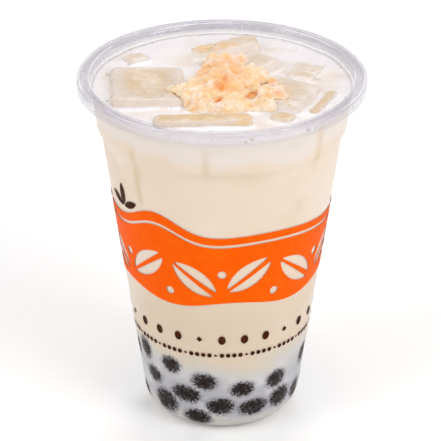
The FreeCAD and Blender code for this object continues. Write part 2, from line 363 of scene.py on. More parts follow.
@dataclass(frozen=True)
class MilkFinish:
    """Creamy tea: pale froth at the top, cream below, greyer between the pearls."""

    floor: Colour = linear(204, 199, 194)
    between: Colour = linear(182, 182, 188)
    deep: Colour = linear(192, 191, 194)
    rise: Colour = linear(207, 204, 201)
    swirl: Colour = linear(216, 215, 218)
    blush: Colour = linear(241, 225, 212)
    tea: Colour = linear(226, 204, 178)
    murk: Colour = linear(138, 138, 146)
    low: Colour = linear(213, 205, 191)
    warm: Colour = linear(224, 205, 182)
    cream: Colour = linear(235, 216, 195)
    cream_high: Colour = linear(236, 217, 196)
    band: Colour = linear(235, 224, 214)
    # Painted shadow under the rim's lip, a darker band just below the drink's top.
    lip_shade: Colour = linear(228, 219, 211)
    froth: Colour = linear(248, 244, 245)
    top: Colour = linear(241, 234, 235)
    top_warm: Colour = linear(230, 211, 192)
    halo: Colour = linear(24, 17, 16)
    halo_edge: Colour = linear(128, 124, 128)
    ice_tint: Colour = linear(214, 188, 154)
    full_height: float = 125.0
    drift: float = 2.5
    calm_from: tuple[float, float] = (113.0, 117.5)
    open_from: tuple[float, float] = (118.1, 118.6)
    side_from: tuple[float, float] = (34.0, 44.0)
    side_to: tuple[float, float] = (106.0, 110.0)
    swirl_to: tuple[float, float] = (20.0, 30.0)
    blushes: Patches = Patches(26, 0.46, 0.66)
    blush_share: float = 0.6
    teas: Patches = Patches(41, 0.5, 0.7)
    tea_share: float = 0.4
    warmths: Patches = Patches(75, 0.46, 0.72)
    warmth_share: float = 0.55
    swirls: Patches = Patches(170, 0.5, 0.72)
    swirl_share: float = 0.7
    murks: Patches = Patches(300, 0.52, 0.74)
    murk_share: float = 0.8
    ragged: Patches = Patches(1100, 0.35, 0.65)
    ragged_share: float = 0.75
    halo_edge_from: tuple[float, float] = (0.05, 0.62)
    halo_from: tuple[float, float] = (0.4, 0.9)

    def stops(self) -> tuple[tuple[float, Colour], ...]:
        """The colours up the side, by height."""
        return (
            (6.0, self.floor),
            (9.5, self.between),
            (18.5, self.between),
            (22.0, self.deep),
            (25.0, self.rise),
            (28.0, self.low),
            (33.0, self.warm),
            (48.0, self.warm),
            (66.0, self.cream),
            (103.0, self.cream_high),
            (107.5, self.cream),
            (111.5, self.band),
            (114.0, self.band),
            # Painted shadow under the rim's lip.
            (117.0, self.lip_shade),
            (118.6, self.top),
        )

    def material(self, groups: ShaderGroups) -> bpy.types.Material:
        """The drink's material."""
        surface = Surface("milk_tea", groups)
        drift = surface.ramp(surface.grain(45), 0.3, 0.7, (-self.drift * MM, self.drift * MM))
        calm = surface.between(surface.height, self.calm_from, (1.0, 0.0))
        level = surface.math("ADD", surface.height, surface.math("MULTIPLY", drift, calm))
        ramp = surface.add(
            "ShaderNodeValToRGB", {0: surface.math("DIVIDE", level, self.full_height * MM)}
        )
        stops = ramp.color_ramp.elements
        while len(stops) < len(self.stops()):
            stops.new(0.5)
        for stop, (height, colour) in zip(stops, self.stops()):
            stop.position = height / self.full_height
            stop.color = colour
        open_top = surface.between(surface.height, self.open_from, (0.0, 1.0))
        side = surface.math(
            "MULTIPLY",
            surface.between(surface.height, self.side_from, (0.0, 1.0)),
            surface.between(surface.height, self.side_to, (1.0, 0.0)),
        )
        low = surface.between(surface.height, self.swirl_to, (1.0, 0.0))
        foam = surface.attribute("foam")
        shade = surface.attribute("pearl_shade")
        colour = ramp.outputs[0]
        for patches, where, share, tint in (
            (self.blushes, side, self.blush_share, self.blush),
            (self.teas, side, self.tea_share, self.tea),
            (self.warmths, open_top, self.warmth_share, self.top_warm),
        ):
            mask = surface.math("MULTIPLY", surface.patches(patches), where)
            colour = surface.blend(surface.math("MULTIPLY", mask, share), colour, tint)
        colour = surface.blend(foam, colour, self.froth)
        colour = surface.blend(surface.attribute("ice_shade"), colour, self.ice_tint)
        for patches, where, share, tint in (
            (self.swirls, low, self.swirl_share, self.swirl),
            (self.murks, shade, self.murk_share, self.murk),
        ):
            mask = surface.math("MULTIPLY", surface.patches(patches), where)
            colour = surface.blend(surface.math("MULTIPLY", mask, share), colour, tint)
        ragged = surface.math("SUBTRACT", surface.patches(self.ragged), 0.5)
        ragged = surface.math("MULTIPLY", ragged, self.ragged_share)
        shade = surface.math("MULTIPLY_ADD", ragged, shade, shade)
        near = surface.ramp(shade, *self.halo_edge_from, (0.0, 1.0))
        colour = surface.blend(near, colour, self.halo_edge)
        colour = surface.blend(surface.ramp(shade, *self.halo_from, (0.0, 1.0)), colour, self.halo)
        return surface.principled(
            {
                "Base Color": colour,
                "Roughness": surface.ramp(foam, 0.0, 1.0, (0.28, 0.42)),
                "Specular IOR Level": 0.12,
                "Subsurface Weight": 0.1,
                "Subsurface Radius": (0.003, 0.0024, 0.0018),
                "Subsurface Scale": 1.0,
                "Coat Weight": surface.math("MULTIPLY", open_top, 0.4),
                "Coat Roughness": 0.14,
                "Normal": surface.bump(surface.math("MULTIPLY", surface.grain(1400), foam), 0.00018),
            }
        )


@dataclass(frozen=True)
class PearlFinish:
    """Cooked tapioca: near black and glossy, browner at the edge, with a film of milk."""

    core: Colour = linear(16, 7, 4)
    edge: Colour = linear(38, 20, 13)
    milk: Colour = linear(128, 122, 128)
    browned: Patches = Patches(500, 0.4, 0.7)
    smeared: Patches = Patches(800, 0.5, 0.7)

    def material(self, groups: ShaderGroups) -> bpy.types.Material:
        """The pearls' material."""
        surface = Surface("tapioca", groups)
        rim = surface.attribute("rim")
        colour = surface.blend(surface.patches(self.browned), self.core, self.edge)
        smear = surface.math("MULTIPLY", surface.patches(self.smeared), rim)
        colour = surface.blend(smear, colour, self.milk)
        return surface.principled(
            {
                "Base Color": colour,
                "Roughness": surface.ramp(rim, 0.0, 1.0, (0.35, 0.5)),
                "Specular IOR Level": 0.1,
                "Normal": surface.bump(surface.grain(700), 0.00008),
            }
        )


@dataclass(frozen=True)
class IceFinish:
    """Wet ice in milk tea: clouded, pale where milk runs over it, with painted tan shade in the middle and at
    the steep sides and painted highlights along the top edges.
    """

    level: float
    crown: Colour = linear(220, 203, 188)
    # Painted shade of the hollow in the drink under each piece, seen through its middle.
    heart_shade: Colour = linear(215, 182, 134)
    # Painted tan shade on the steep sides of the tan pieces.
    side: Colour = linear(222, 190, 148)
    stain: Colour = linear(240, 196, 146)
    # Clouded frost in streaks, and the painted highlights along the top edges.
    frost_and_glint: Colour = linear(240, 231, 225)
    milk: Colour = linear(238, 229, 224)
    streak_share: float = 0.45
    bare: float = 0.2
    flank_share: float = 0.85
    film_share: float = 0.45
    grain_stretch: float = 3.0
    grain_from: tuple[float, float] = (0.5, 0.68)
    steep_from: tuple[float, float] = (0.25, 0.8)
    flat_from: tuple[float, float] = (0.9, 0.98)
    lap: float = 0.9
    wash: tuple[float, float] = (-0.2, 0.5)
    wash_on_top: float = 0.2
    hearts: Patches = Patches(150, 0.2, 0.55)
    films: Patches = Patches(110, 0.52, 0.74)
    edges: Patches = Patches(240, 0.25, 0.6)
    stains: Patches = Patches(420, 0.3, 0.6)
    laps: Patches = Patches(300, 0.2, 0.8)
    dull: Patches = Patches(300, 0.35, 0.65)
    dull_limits: tuple[float, float] = (0.14, 0.3)

    def material(self, groups: ShaderGroups) -> bpy.types.Material:
        """The ice's material."""
        surface = Surface("ice", groups)
        facing = surface.axes(surface.add("ShaderNodeTexCoord").outputs["Normal"])[2]
        # Painted shade in the middle of each piece, for the shaded hollow in the drink under it.
        heart_shade = surface.math("MULTIPLY", surface.attribute("heart_shade"), surface.patches(self.hearts))
        along = surface.math("MULTIPLY", surface.along, self.grain_stretch)
        inputs = {"Vector": surface.vector(surface.across, along, 0.0), "Scale": 190.0, "Detail": 3.0}
        streaks = surface.add("ShaderNodeTexNoise", inputs).outputs[0]
        colour = surface.blend(heart_shade, self.crown, self.heart_shade)
        streaks = surface.ramp(streaks, *self.grain_from, (0.0, self.streak_share))
        bare = surface.ramp(surface.attribute("tan"), 0.0, 1.0, (1.0, self.bare))
        streaks = surface.math("MULTIPLY", streaks, bare)
        colour = surface.blend(streaks, colour, self.frost_and_glint)
        # Steep sides: pale with milk running down them, and on the tan pieces a painted tan shade, darker
        # than the tops.
        steep = surface.ramp(facing, *self.steep_from, (1.0, 0.0))
        flank_milk_and_shade = surface.blend(surface.attribute("tan"), self.milk, self.side)
        colour = surface.blend(surface.math("MULTIPLY", steep, self.flank_share), colour, flank_milk_and_shade)
        film = surface.math("MULTIPLY", surface.patches(self.films), self.film_share)
        film = surface.math("MULTIPLY", film, bare)
        colour = surface.blend(film, colour, self.milk)
        # Painted highlights along the top edges of each piece above the drink.
        edge = surface.math("MULTIPLY", surface.attribute("edge"), surface.patches(self.edges))
        colour = surface.blend(edge, colour, self.frost_and_glint)
        stain = surface.math("MULTIPLY", surface.attribute("stain"), surface.patches(self.stains))
        colour = surface.blend(stain, colour, self.stain)
        lapped = surface.math("MULTIPLY_ADD", surface.patches(self.laps), self.lap * MM, self.level * MM)
        depth = surface.math("SUBTRACT", surface.height, lapped)
        washed = surface.between(depth, self.wash, (1.0, 0.0))
        slopes = surface.ramp(facing, *self.flat_from, (1.0, self.wash_on_top))
        washed = surface.math("MULTIPLY", washed, slopes)
        colour = surface.blend(washed, colour, self.milk)
        return surface.principled(
            {
                "Base Color": colour,
                "Roughness": surface.rough(self.dull, self.dull_limits),
                "IOR": 1.31,
                "Specular IOR Level": 0.3,
                "Subsurface Weight": 0.12,
                "Subsurface Radius": (0.0012, 0.0009, 0.0006),
                "Subsurface Scale": 1.0,
                "Coat Weight": 0.12,
                "Coat Roughness": 0.15,
                "Normal": surface.bump(surface.grain(260), 0.0003),
            }
        )


@dataclass(frozen=True)
class CrumbFinish:
    """Dry baked crumbs: pale on the outside, deep orange in flecks and at listed hollows, with painted orange
    shade in their crevices.
    """

    pale: Colour = linear(255, 236, 219)
    gold: Colour = linear(255, 214, 163)
    # Deep orange of the flecks and hollows, and of the painted shade in the crevices.
    deep: Colour = linear(246, 150, 52)
    baked: Patches = Patches(260, 0.45, 0.75)

    def material(self, groups: ShaderGroups) -> bpy.types.Material:
        """The topping's material."""
        surface = Surface("crumble", groups)
        tone = surface.attribute("tone")
        colour = surface.blend(tone, self.pale, self.gold)
        colour = surface.blend(surface.patches(self.baked), colour, self.gold)
        # The depth attribute holds the orange flecks, the listed hollows and the painted shade in the
        # crevices.
        colour = surface.blend(surface.attribute("depth"), colour, self.deep)
        return surface.principled(
            {
                "Base Color": colour,
                "Roughness": surface.ramp(tone, 0.0, 1.0, (0.5, 0.65)),
                "Specular IOR Level": 0.12,
                "Subsurface Weight": 0.4,
                "Subsurface Radius": (0.002, 0.0014, 0.0009),
                "Subsurface Scale": 1.0,
                "Normal": surface.bump(surface.grain(1300), 0.0003),
            }
        )


@dataclass(frozen=True)
class WaterFinish:
    """Clear drops of water."""

    tint: Colour = linear(250, 250, 252)

    def material(self, groups: ShaderGroups) -> bpy.types.Material:
        """The drops' material, which lets the lamps reach what is behind."""
        surface = Surface("water", groups)
        glass = surface.add(
            "ShaderNodeBsdfPrincipled",
            {"Base Color": self.tint, "Roughness": 0.02, "IOR": 1.33, "Transmission Weight": 1.0},
        )
        clear = surface.add("ShaderNodeBsdfTransparent")
        shadow = surface.add("ShaderNodeLightPath").outputs["Is Shadow Ray"]
        mixed = surface.add("ShaderNodeMixShader", {0: shadow, 1: glass.outputs[0], 2: clear.outputs[0]})
        return surface.close(mixed.outputs[0])


@dataclass(frozen=True)
class FoamFinish:
    """Bubbles of milk froth."""

    film: Colour = linear(247, 242, 236)
    hollow: Colour = linear(216, 203, 190)
    hollows: Patches = Patches(800, 0.45, 0.7)
    dull: Patches = Patches(500, 0.3, 0.7)
    dull_limits: tuple[float, float] = (0.06, 0.12)
    cover: Patches = Patches(900, 0.35, 0.6)
    cover_limits: tuple[float, float] = (0.45, 0.75)

    def material(self, groups: ShaderGroups) -> bpy.types.Material:
        """The bubbles' material."""
        surface = Surface("milk_froth", groups)
        colour = surface.blend(surface.patches(self.hollows), self.film, self.hollow)
        return surface.principled(
            {
                "Base Color": colour,
                "Roughness": surface.rough(self.dull, self.dull_limits),
                "Alpha": surface.rough(self.cover, self.cover_limits),
                "Coat Weight": 0.7,
                "Coat Roughness": 0.05,
            }
        )


@dataclass(frozen=True)
class FloorFinish:
    """A plain white floor that keeps the object's shadow."""

    white: Colour = linear(252, 252, 252)
    lift: float = 0.08

    def material(self, groups: ShaderGroups) -> bpy.types.Material:
        """The floor's material, a little brighter to the camera alone."""
        surface = Surface("floor", groups)
        plain = surface.add("ShaderNodeBsdfDiffuse", {"Color": self.white})
        seen = surface.add("ShaderNodeLightPath").outputs["Is Camera Ray"]
        glow = surface.add("ShaderNodeEmission", {"Strength": surface.math("MULTIPLY", seen, self.lift)})
        both = surface.add("ShaderNodeAddShader", {0: plain.outputs[0], 1: glow.outputs[0]})
        return surface.close(both.outputs[0])


# ---------------------------------------------------------------- mesh helpers


def piece(name: str, mesh: bpy.types.Mesh, stands_for: Iterable[str] = ()) -> bpy.types.Object:
    """Put a finished mesh in the scene as a piece of the object.

    Args:
        name: The piece's name.
        mesh: Its mesh, in metres and in place.
        stands_for: The solids that it replaces.

    Returns:
        The piece.
    """
    made = bpy.data.objects.new(name, mesh)
    mesh.name = name
    bpy.context.scene.collection.objects.link(made)
    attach(made, "root")
    stands_for = tuple(stands_for)
    if stands_for:
        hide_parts(*stands_for)
    LOG.info("%s: %d faces", name, len(mesh.polygons))
    return made


def new_mesh(name: str, points: np.ndarray, faces: list, smooth: bool = True) -> bpy.types.Mesh:
    """A mesh from points in millimetres.

    Args:
        name: The mesh's name.
        points: One row for each point.
        faces: The points of each face.
        smooth: Whether it is shaded smooth.

    Returns:
        The mesh, in metres.
    """
    mesh = bpy.data.meshes.new(name)
    mesh.from_pydata((np.asarray(points) * MM).tolist(), [], faces)
    mesh.polygons.foreach_set("use_smooth", [smooth] * len(mesh.polygons))
    mesh.update()
    return mesh


def keep_values(mesh: bpy.types.Mesh, name: str, values: np.ndarray) -> None:
    """Keep one number for each point on a mesh."""
    mesh.attributes.new(name, "FLOAT", "POINT").data.foreach_set("value", np.asarray(values, np.float32))


def points_of(mesh: bpy.types.Mesh) -> np.ndarray:
    """A mesh's points in millimetres."""
    flat = np.empty(len(mesh.vertices) * 3)
    mesh.vertices.foreach_get("co", flat)
    return flat.reshape(-1, 3) / MM


def move_points(mesh: bpy.types.Mesh, points: np.ndarray) -> None:
    """Set a mesh's points, in millimetres."""
    mesh.vertices.foreach_set("co", (points * MM).ravel())
    mesh.update()


def normals_of(mesh: bpy.types.Mesh) -> np.ndarray:
    """A mesh's point normals."""
    flat = np.empty(len(mesh.vertices) * 3)
    mesh.vertex_normals.foreach_get("vector", flat)
    return flat.reshape(-1, 3)


def rounded(
    corners: list[tuple[float, float, float]], steps: int = 6, spacing: float = 0.6
) -> np.ndarray:
    """A line through corners, each rounded with its own radius.

    Args:
        corners: Across, up and the rounding of each corner.
        steps: How many points an arc gets, at least.
        spacing: How far apart an arc's points are, at most, in millimetres.

    Returns:
        The line's points.
    """
    line = []
    for i, (x, y, radius) in enumerate(corners):
        corner = Vector((x, y))
        if not radius or i in (0, len(corners) - 1):
            line.append(tuple(corner))
            continue
        back = (Vector(corners[i - 1][:2]) - corner).normalized()
        ahead = (Vector(corners[i + 1][:2]) - corner).normalized()
        half = back.angle(ahead) / 2
        middle = corner + (back + ahead).normalized() * (radius / math.sin(half))
        start = corner + back * (radius / math.tan(half)) - middle
        turn = (math.pi - 2 * half) * (1 if back.cross(ahead) < 0 else -1)
        count = max(steps, int(radius * abs(turn) / spacing))
        for k in range(count + 1):
            angle = turn * k / count
            cosine, sine = math.cos(angle), math.sin(angle)
            spun = Vector((start.x * cosine - start.y * sine, start.x * sine + start.y * cosine))
            line.append(tuple(middle + spun))
    return np.array(line)


def resampled(line: np.ndarray, spacing: float) -> np.ndarray:
    """The same line with points at even distances."""
    lengths = np.r_[0, np.cumsum(np.hypot(*np.diff(line, axis=0).T))]
    at = np.linspace(0, lengths[-1], int(lengths[-1] / spacing) + 2)
    return np.c_[np.interp(at, lengths, line[:, 0]), np.interp(at, lengths, line[:, 1])]


def carried(source: bpy.types.Mesh, kind: str) -> tuple[bpy.types.Object, bpy.types.Modifier]:
    """A helper object that carries a mesh and one modifier."""
    carrier = bpy.data.objects.new("carrier", source)
    bpy.context.scene.collection.objects.link(carrier)
    return carrier, carrier.modifiers.new("step", kind)


def taken_off(carrier: bpy.types.Object) -> bpy.types.Mesh:
    """The modifier's result as a plain mesh, with the helper object removed."""
    depsgraph = bpy.context.evaluated_depsgraph_get()
    mesh = bpy.data.meshes.new_from_object(carrier.evaluated_get(depsgraph), depsgraph=depsgraph)
    bpy.data.objects.remove(carrier)
    return mesh


def grown(source: bpy.types.Mesh, tree: bpy.types.NodeTree, values: dict[str, object]) -> bpy.types.Mesh:
    """Run a geometry tree on a mesh and take its result as a plain mesh.

    Args:
        source: The mesh that goes in.
        tree: The tree.
        values: What its named inputs get.

    Returns:
        The new mesh.
    """
    carrier, modifier = carried(source, "NODES")
    modifier.node_group = tree
    sockets = {s.name: s.identifier for s in tree.interface.items_tree if s.in_out == "INPUT"}
    for name, value in values.items():
        modifier[sockets[name]] = value
    return taken_off(carrier)


def outward(mesh: bpy.types.Mesh) -> bpy.types.Mesh:
    """Turn a closed mesh's faces outwards."""
    made = bmesh.new()
    made.from_mesh(mesh)
    bmesh.ops.recalc_face_normals(made, faces=made.faces)
    if made.calc_volume(signed=True) < 0:
        bmesh.ops.reverse_faces(made, faces=made.faces)
    made.to_mesh(mesh)
    made.free()
    return mesh


def copy_of(node: str) -> bpy.types.Mesh:
    """A copy of a solid's mesh with its points joined."""
    merged = bmesh.new()
    merged.from_mesh(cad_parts[node].data)
    bmesh.ops.remove_doubles(merged, verts=merged.verts, dist=SAME_PLACE * MM)
    mesh = bpy.data.meshes.new(f"{node}_merged")
    merged.to_mesh(mesh)
    merged.free()
    return mesh


def remeshed(sources: Iterable[bpy.types.Mesh], voxel: float) -> bpy.types.Mesh:
    """One even mesh round all of some closed meshes.

    Args:
        sources: The meshes.
        voxel: The size of its faces in millimetres.

    Returns:
        The mesh.
    """
    joined = bmesh.new()
    for source in sources:
        joined.from_mesh(source)
    mesh = bpy.data.meshes.new("joined")
    joined.to_mesh(mesh)
    joined.free()
    carrier, modifier = carried(mesh, "REMESH")
    modifier.mode = "VOXEL"
    modifier.voxel_size = voxel * MM
    even = taken_off(carrier)
    even.polygons.foreach_set("use_smooth", [True] * len(even.polygons))
    return even


def search_tree(mesh: bpy.types.Mesh) -> BVHTree:
    """A search tree of a mesh, in millimetres."""
    return BVHTree.FromPolygons(points_of(mesh).tolist(), [tuple(face.vertices) for face in mesh.polygons])


def softened(mesh: bpy.types.Mesh, times: int) -> bpy.types.Mesh:
    """Round a mesh's edges by smoothing it some times."""
    made = bmesh.new()
    made.from_mesh(mesh)
    for _ in range(times):
        bmesh.ops.smooth_vert(
            made, verts=made.verts, factor=0.5, use_axis_x=True, use_axis_y=True, use_axis_z=True
        )
    made.to_mesh(mesh)
    made.free()
    return mesh


def wobble(points: np.ndarray, size: float, seed: float, octaves: int = 3) -> np.ndarray:
    """Smooth noise from about -1 to 1 at each point.

    Args:
        points: The points, in millimetres.
        size: The size of its waves in millimetres.
        seed: Which noise.
        octaves: How many finer layers it has.

    Returns:
        One number for each point.
    """
    shift = Vector((seed * 17.3, seed * 7.1, seed * 3.7))
    return np.array(
        [noise.fractal(Vector(p) / size + shift, 0.6, 2.0, octaves) for p in points.tolist()]
    )


@dataclass(frozen=True)
class Beads:
    """Small flattened balls on a surface: how many to a square metre, their sizes and their form."""

    name: str
    density: float
    smallest: float
    largest: float
    rarity: float
    squash: float
    draw: int
    on_froth: bool = False
    froth_power: float = 2.5

    def tree(self) -> bpy.types.NodeTree:
        """The tree that scatters the balls over the part of a surface above a height.

        Returns:
            The geometry tree.
        """
        numbers = dict.fromkeys(("Density", "Lowest", "Smallest", "Largest"), "Float")
        inputs = {"Surface": "Geometry", **numbers, "Seed": ("Int", SEED), "Material": "Material"}
        tree = new_tree(self.name, "Geometry", inputs)
        nodes = Nodes(tree)
        given = nodes.add("NodeGroupInput").outputs
        density = given["Density"]
        if self.on_froth:
            foam = nodes.add("GeometryNodeInputNamedAttribute", {0: "foam"}, data_type="FLOAT").outputs[0]
            density = nodes.math("MULTIPLY", density, nodes.math("POWER", foam, self.froth_power))
        height = nodes.axes(nodes.add("GeometryNodeInputPosition").outputs[0])[2]
        high = nodes.math("GREATER_THAN", height, given["Lowest"])
        inputs = {"Mesh": given[0], "Selection": high, "Density": density, "Seed": given["Seed"]}
        spots = nodes.add("GeometryNodeDistributePointsOnFaces", inputs)
        inputs = {2: 0.0, 3: 1.0, "Seed": self.draw}
        share = nodes.add("FunctionNodeRandomValue", inputs, data_type="FLOAT").outputs[1]
        share = nodes.math("POWER", share, self.rarity)
        spread = nodes.math("SUBTRACT", given["Largest"], given["Smallest"])
        radius = nodes.math("MULTIPLY_ADD", share, spread, given["Smallest"])
        size = nodes.vector(radius, radius, nodes.math("MULTIPLY", radius, self.squash))
        ball = nodes.add("GeometryNodeMeshIcoSphere", {"Radius": 1.0, "Subdivisions": 2}).outputs[0]
        inputs = {"Points": spots.outputs[0], "Instance": ball, "Scale": size}
        if not self.on_froth:
            inputs["Rotation"] = spots.outputs[2]
        balls = nodes.add("GeometryNodeInstanceOnPoints", inputs).outputs[0]
        real = nodes.add("GeometryNodeRealizeInstances", {0: balls}).outputs[0]
        nodes.hand_out(real, given["Material"])
        return tree

    def over(self, source: bpy.types.Mesh, lowest: float, finish: bpy.types.Material) -> bpy.types.Mesh:
        """The balls on the part of a mesh that lies above a height.

        Args:
            source: The mesh.
            lowest: The height in millimetres.
            finish: Their material.

        Returns:
            The balls as one mesh.
        """
        values = {
            "Density": self.density,
            "Lowest": lowest * MM,
            "Smallest": self.smallest * MM,
            "Largest": self.largest * MM,
            "Material": finish,
        }
        return grown(source.copy(), self.tree(), values)


# ---------------------------------------------------------------- the cup


@dataclass(frozen=True)
class CupShape:
    """The cup's section in millimetres, from the foot ring up."""

    height: float
    flange_radius: float
    level: float
    base_radius: float = 26.05
    slope: float = 0.1349
    wall: float = 0.65
    corner: float = 8.5
    foot_radius: float = 16.6
    recess_radius: float = 15.0
    recess_lift: float = 1.8
    flange_inner: float = 43.0
    sheet: float = 0.8
    skirt: float = 3.6
    shoulder: tuple[float, float] = (103.6, 106.4)
    step: float = 1.0
    groove: tuple[float, float] = (44.5, 45.9)
    groove_slope: float = 0.4
    groove_depth: float = 0.3

    def outer(self, height: float | np.ndarray) -> float | np.ndarray:
        """The outer radius of the wall at a height."""
        low, high = self.shoulder
        widened = np.clip((height - low) / (high - low), 0, 1)
        return self.base_radius + self.slope * height + self.step * widened

    def side(self, height: np.ndarray, inset: float) -> np.ndarray:
        """The radius at each height of a skin that lies an inset inside the wall's outer face."""
        radius = self.corner - inset
        lean = math.hypot(1, self.slope)
        middle = self.base_radius - inset + self.slope * (inset + radius) - radius * lean
        above = np.asarray(height, float)
        straight = self.outer(above) - inset
        drop = np.clip(inset + radius - above, 0, radius)
        turned = middle + np.sqrt(radius**2 - drop**2)
        return np.where(above < inset + radius * (1 - self.slope / lean), turned, straight)

    def section_inside(self, inset: float) -> list[tuple[float, float, float]]:
        """The corners of the floor and of the wall up to its shoulder, for a skin inset in it."""
        low, high = self.shoulder
        return [
            (0.0, self.recess_lift + inset, 0.0),
            (self.recess_radius, self.recess_lift + inset, 1.2),
            (self.foot_radius, inset, 1.0),
            (self.outer(inset) - inset, inset, self.corner - inset),
            (self.outer(low) - inset, low, 1.6),
            (self.outer(high) - inset, high, 1.6),
        ]

    def section(self) -> np.ndarray:
        """The whole section of the cup, from the axis inside to the axis underneath."""
        top, outside = self.height, self.flange_radius
        neck = top - self.sheet
        sunk = top - self.groove_depth
        near, far = self.groove
        corners = self.section_inside(self.wall)
        corners += [
            (self.outer(neck) - self.wall, neck - 0.6, 1.2),
            (self.flange_inner + 0.5, top, 0.5),
            (near, top, 0.35),
            (near + self.groove_slope, sunk, 0.25),
            (far - self.groove_slope, sunk, 0.25),
            (far, top, 0.35),
            (outside, top, 0.85),
            (outside, top - self.skirt, 0.3),
            (outside - self.sheet, top - self.skirt, 0.3),
            (outside - self.sheet, neck, 0.5),
            (self.outer(neck), neck, 0.5),
            (self.outer(self.shoulder[1]), self.shoulder[1], 1.6),
            (self.outer(self.shoulder[0]), self.shoulder[0], 1.6),
            (self.base_radius, 0.0, self.corner),
            (self.foot_radius, 0.0, 0.5),
            (self.recess_radius, self.recess_lift, 0.8),
            (0.0, self.recess_lift, 0.0),
        ]
        return rounded(corners)

    def wrap(self, flat: np.ndarray, lift: float) -> np.ndarray:
        """Lay flat points, turn in radians and height, on the outer wall with a small lift."""
        radius = self.outer(flat[:, 1]) + lift
        return np.c_[radius * np.sin(flat[:, 0]), -radius * np.cos(flat[:, 0]), flat[:, 1]]


def turning_tree() -> bpy.types.NodeTree:
    """The tree that turns a section in the XZ plane about Z and closes it at the axis.

    Returns:
        The geometry tree, with the inputs Section, Segments and Material.
    """
    inputs = {"Section": "Geometry", "Segments": ("Int", 192), "Material": "Material"}
    tree = new_tree("turn_about_axis", "Geometry", inputs)
    nodes = Nodes(tree)
    given = nodes.add("NodeGroupInput").outputs
    count = nodes.add("GeometryNodeAttributeDomainSize", {0: given[0]}).outputs[0]
    around = nodes.math("ADD", given[1], 1.0)
    sizes = {"Size X": 1.0, "Size Y": 1.0, "Vertices X": around, "Vertices Y": count}
    grid = nodes.add("GeometryNodeMeshGrid", sizes).outputs[0]
    place = nodes.add("GeometryNodeInputPosition").outputs[0]
    x, y, _ = nodes.axes(place)
    angle = nodes.math("MULTIPLY", nodes.math("ADD", x, 0.5), FULL_TURN)
    last = nodes.math("SUBTRACT", count, 1.0)
    row = nodes.math("ROUND", nodes.math("MULTIPLY", nodes.math("ADD", y, 0.5), last))
    inputs = {"Geometry": given[0], "Value": place, "Index": row}
    sampled = nodes.add("GeometryNodeSampleIndex", inputs, data_type="FLOAT_VECTOR").outputs[0]
    reach, _, height = nodes.axes(sampled)
    turned = nodes.vector(
        nodes.math("MULTIPLY", reach, nodes.math("COSINE", angle)),
        nodes.math("MULTIPLY", reach, nodes.math("SINE", angle)),
        height,
    )
    moved = nodes.add("GeometryNodeSetPosition", {"Geometry": grid, "Position": turned}).outputs[0]
    closed = nodes.add("GeometryNodeMergeByDistance", {"Geometry": moved, "Distance": 0.005 * MM})
    nodes.hand_out(closed.outputs[0], given["Material"])
    return tree


@dataclass
class Cup:
    """The plastic cup with the drops of water on its rim."""

    shape: CupShape
    plastic: bpy.types.Material
    water: bpy.types.Material
    segments: int = 192
    drops: Beads = Beads("drops_on_rim", 16000.0, 0.15, 0.85, 3.0, 0.55, 3)
    drop_floor: float = 119.3
    mesh: bpy.types.Mesh | None = field(default=None, init=False)

    def build(self) -> None:
        """Turn the section and put the cup in the scene."""
        line = self.shape.section()
        points = np.c_[line[:, 0], np.zeros(len(line)), line[:, 1]]
        section = bpy.data.meshes.new("cup_section")
        edges = [(i, i + 1) for i in range(len(points) - 1)]
        section.from_pydata((points * MM).tolist(), edges, [])
        values = {"Segments": self.segments, "Material": self.plastic}
        self.mesh = outward(grown(section, turning_tree(), values))
        piece("cup_wall", self.mesh, ["cup"])

    def wet(self) -> None:
        """Scatter drops of water on the rim."""
        drops = self.drops.over(self.mesh, self.drop_floor, self.water)
        points = points_of(drops)
        reach = np.hypot(points[:, 0], points[:, 1])
        squeeze = np.minimum(1, self.shape.flange_radius / np.maximum(reach, 1e-6))
        points[:, :2] *= squeeze[:, None]
        move_points(drops, points)
        piece("rim_drops", drops)


# ---------------------------------------------------------------- the print


class Ink(Enum):
    """The print's two inks."""

    ORANGE = "print_orange"
    BROWN = "print_brown"


def leaf(along: np.ndarray, aside: np.ndarray, length: float, width: float) -> np.ndarray:
    """How far each point lies outside a leaf with two pointed ends, negative inside.

    Args:
        along: Places along the leaf.
        aside: Places across it.
        length: Half its length.
        width: Half its width.

    Returns:
        The distances.
    """
    radius = (length**2 + width**2) / (2 * width)
    return np.hypot(along, np.abs(aside) + radius - width) - radius


def turned_about(u: np.ndarray, v: np.ndarray, x: float, y: float, degrees: float) -> tuple:
    """Places along and across a motif that stands at x, y and leans by some degrees."""
    angle = math.radians(degrees)
    along = (u - x) * math.cos(angle) + (v - y) * math.sin(angle)
    aside = (v - y) * math.cos(angle) - (u - x) * math.sin(angle)
    return along, aside


def clipped_grid(field_of: Callable, u: np.ndarray, v: np.ndarray) -> tuple[np.ndarray, list]:
    """The flat faces where a field is negative, with edges cut along its zero line.

    Args:
        field_of: The field, from two arrays of places.
        u: Places across.
        v: Places up.

    Returns:
        The flat points and the faces.
    """
    across, up = np.meshgrid(u, v, indexing="ij")
    values = field_of(across, up)
    points, index, faces = [], {}, []

    def add(key: tuple, x: float, y: float) -> int:
        """The number of a point, made once."""
        if key not in index:
            index[key] = len(points)
            points.append((x, y))
        return index[key]

    for i in range(len(u) - 1):
        for j in range(len(v) - 1):
            ring = ((i, j), (i + 1, j), (i + 1, j + 1), (i, j + 1))
            if all(values[c] >= 0 for c in ring):
                continue
            face = []
            for a, b in zip(ring, ring[1:] + ring[:1]):
                if values[a] < 0:
                    face.append(add((a,), across[a], up[a]))
                if (values[a] < 0) != (values[b] < 0):
                    share = values[a] / (values[a] - values[b])
                    x = across[a] + (across[b] - across[a]) * share
                    y = up[a] + (up[b] - up[a]) * share
                    face.append(add(tuple(sorted((a, b))), x, y))
            if len(face) > 2:
                faces.append(face)
    return np.array(points), faces


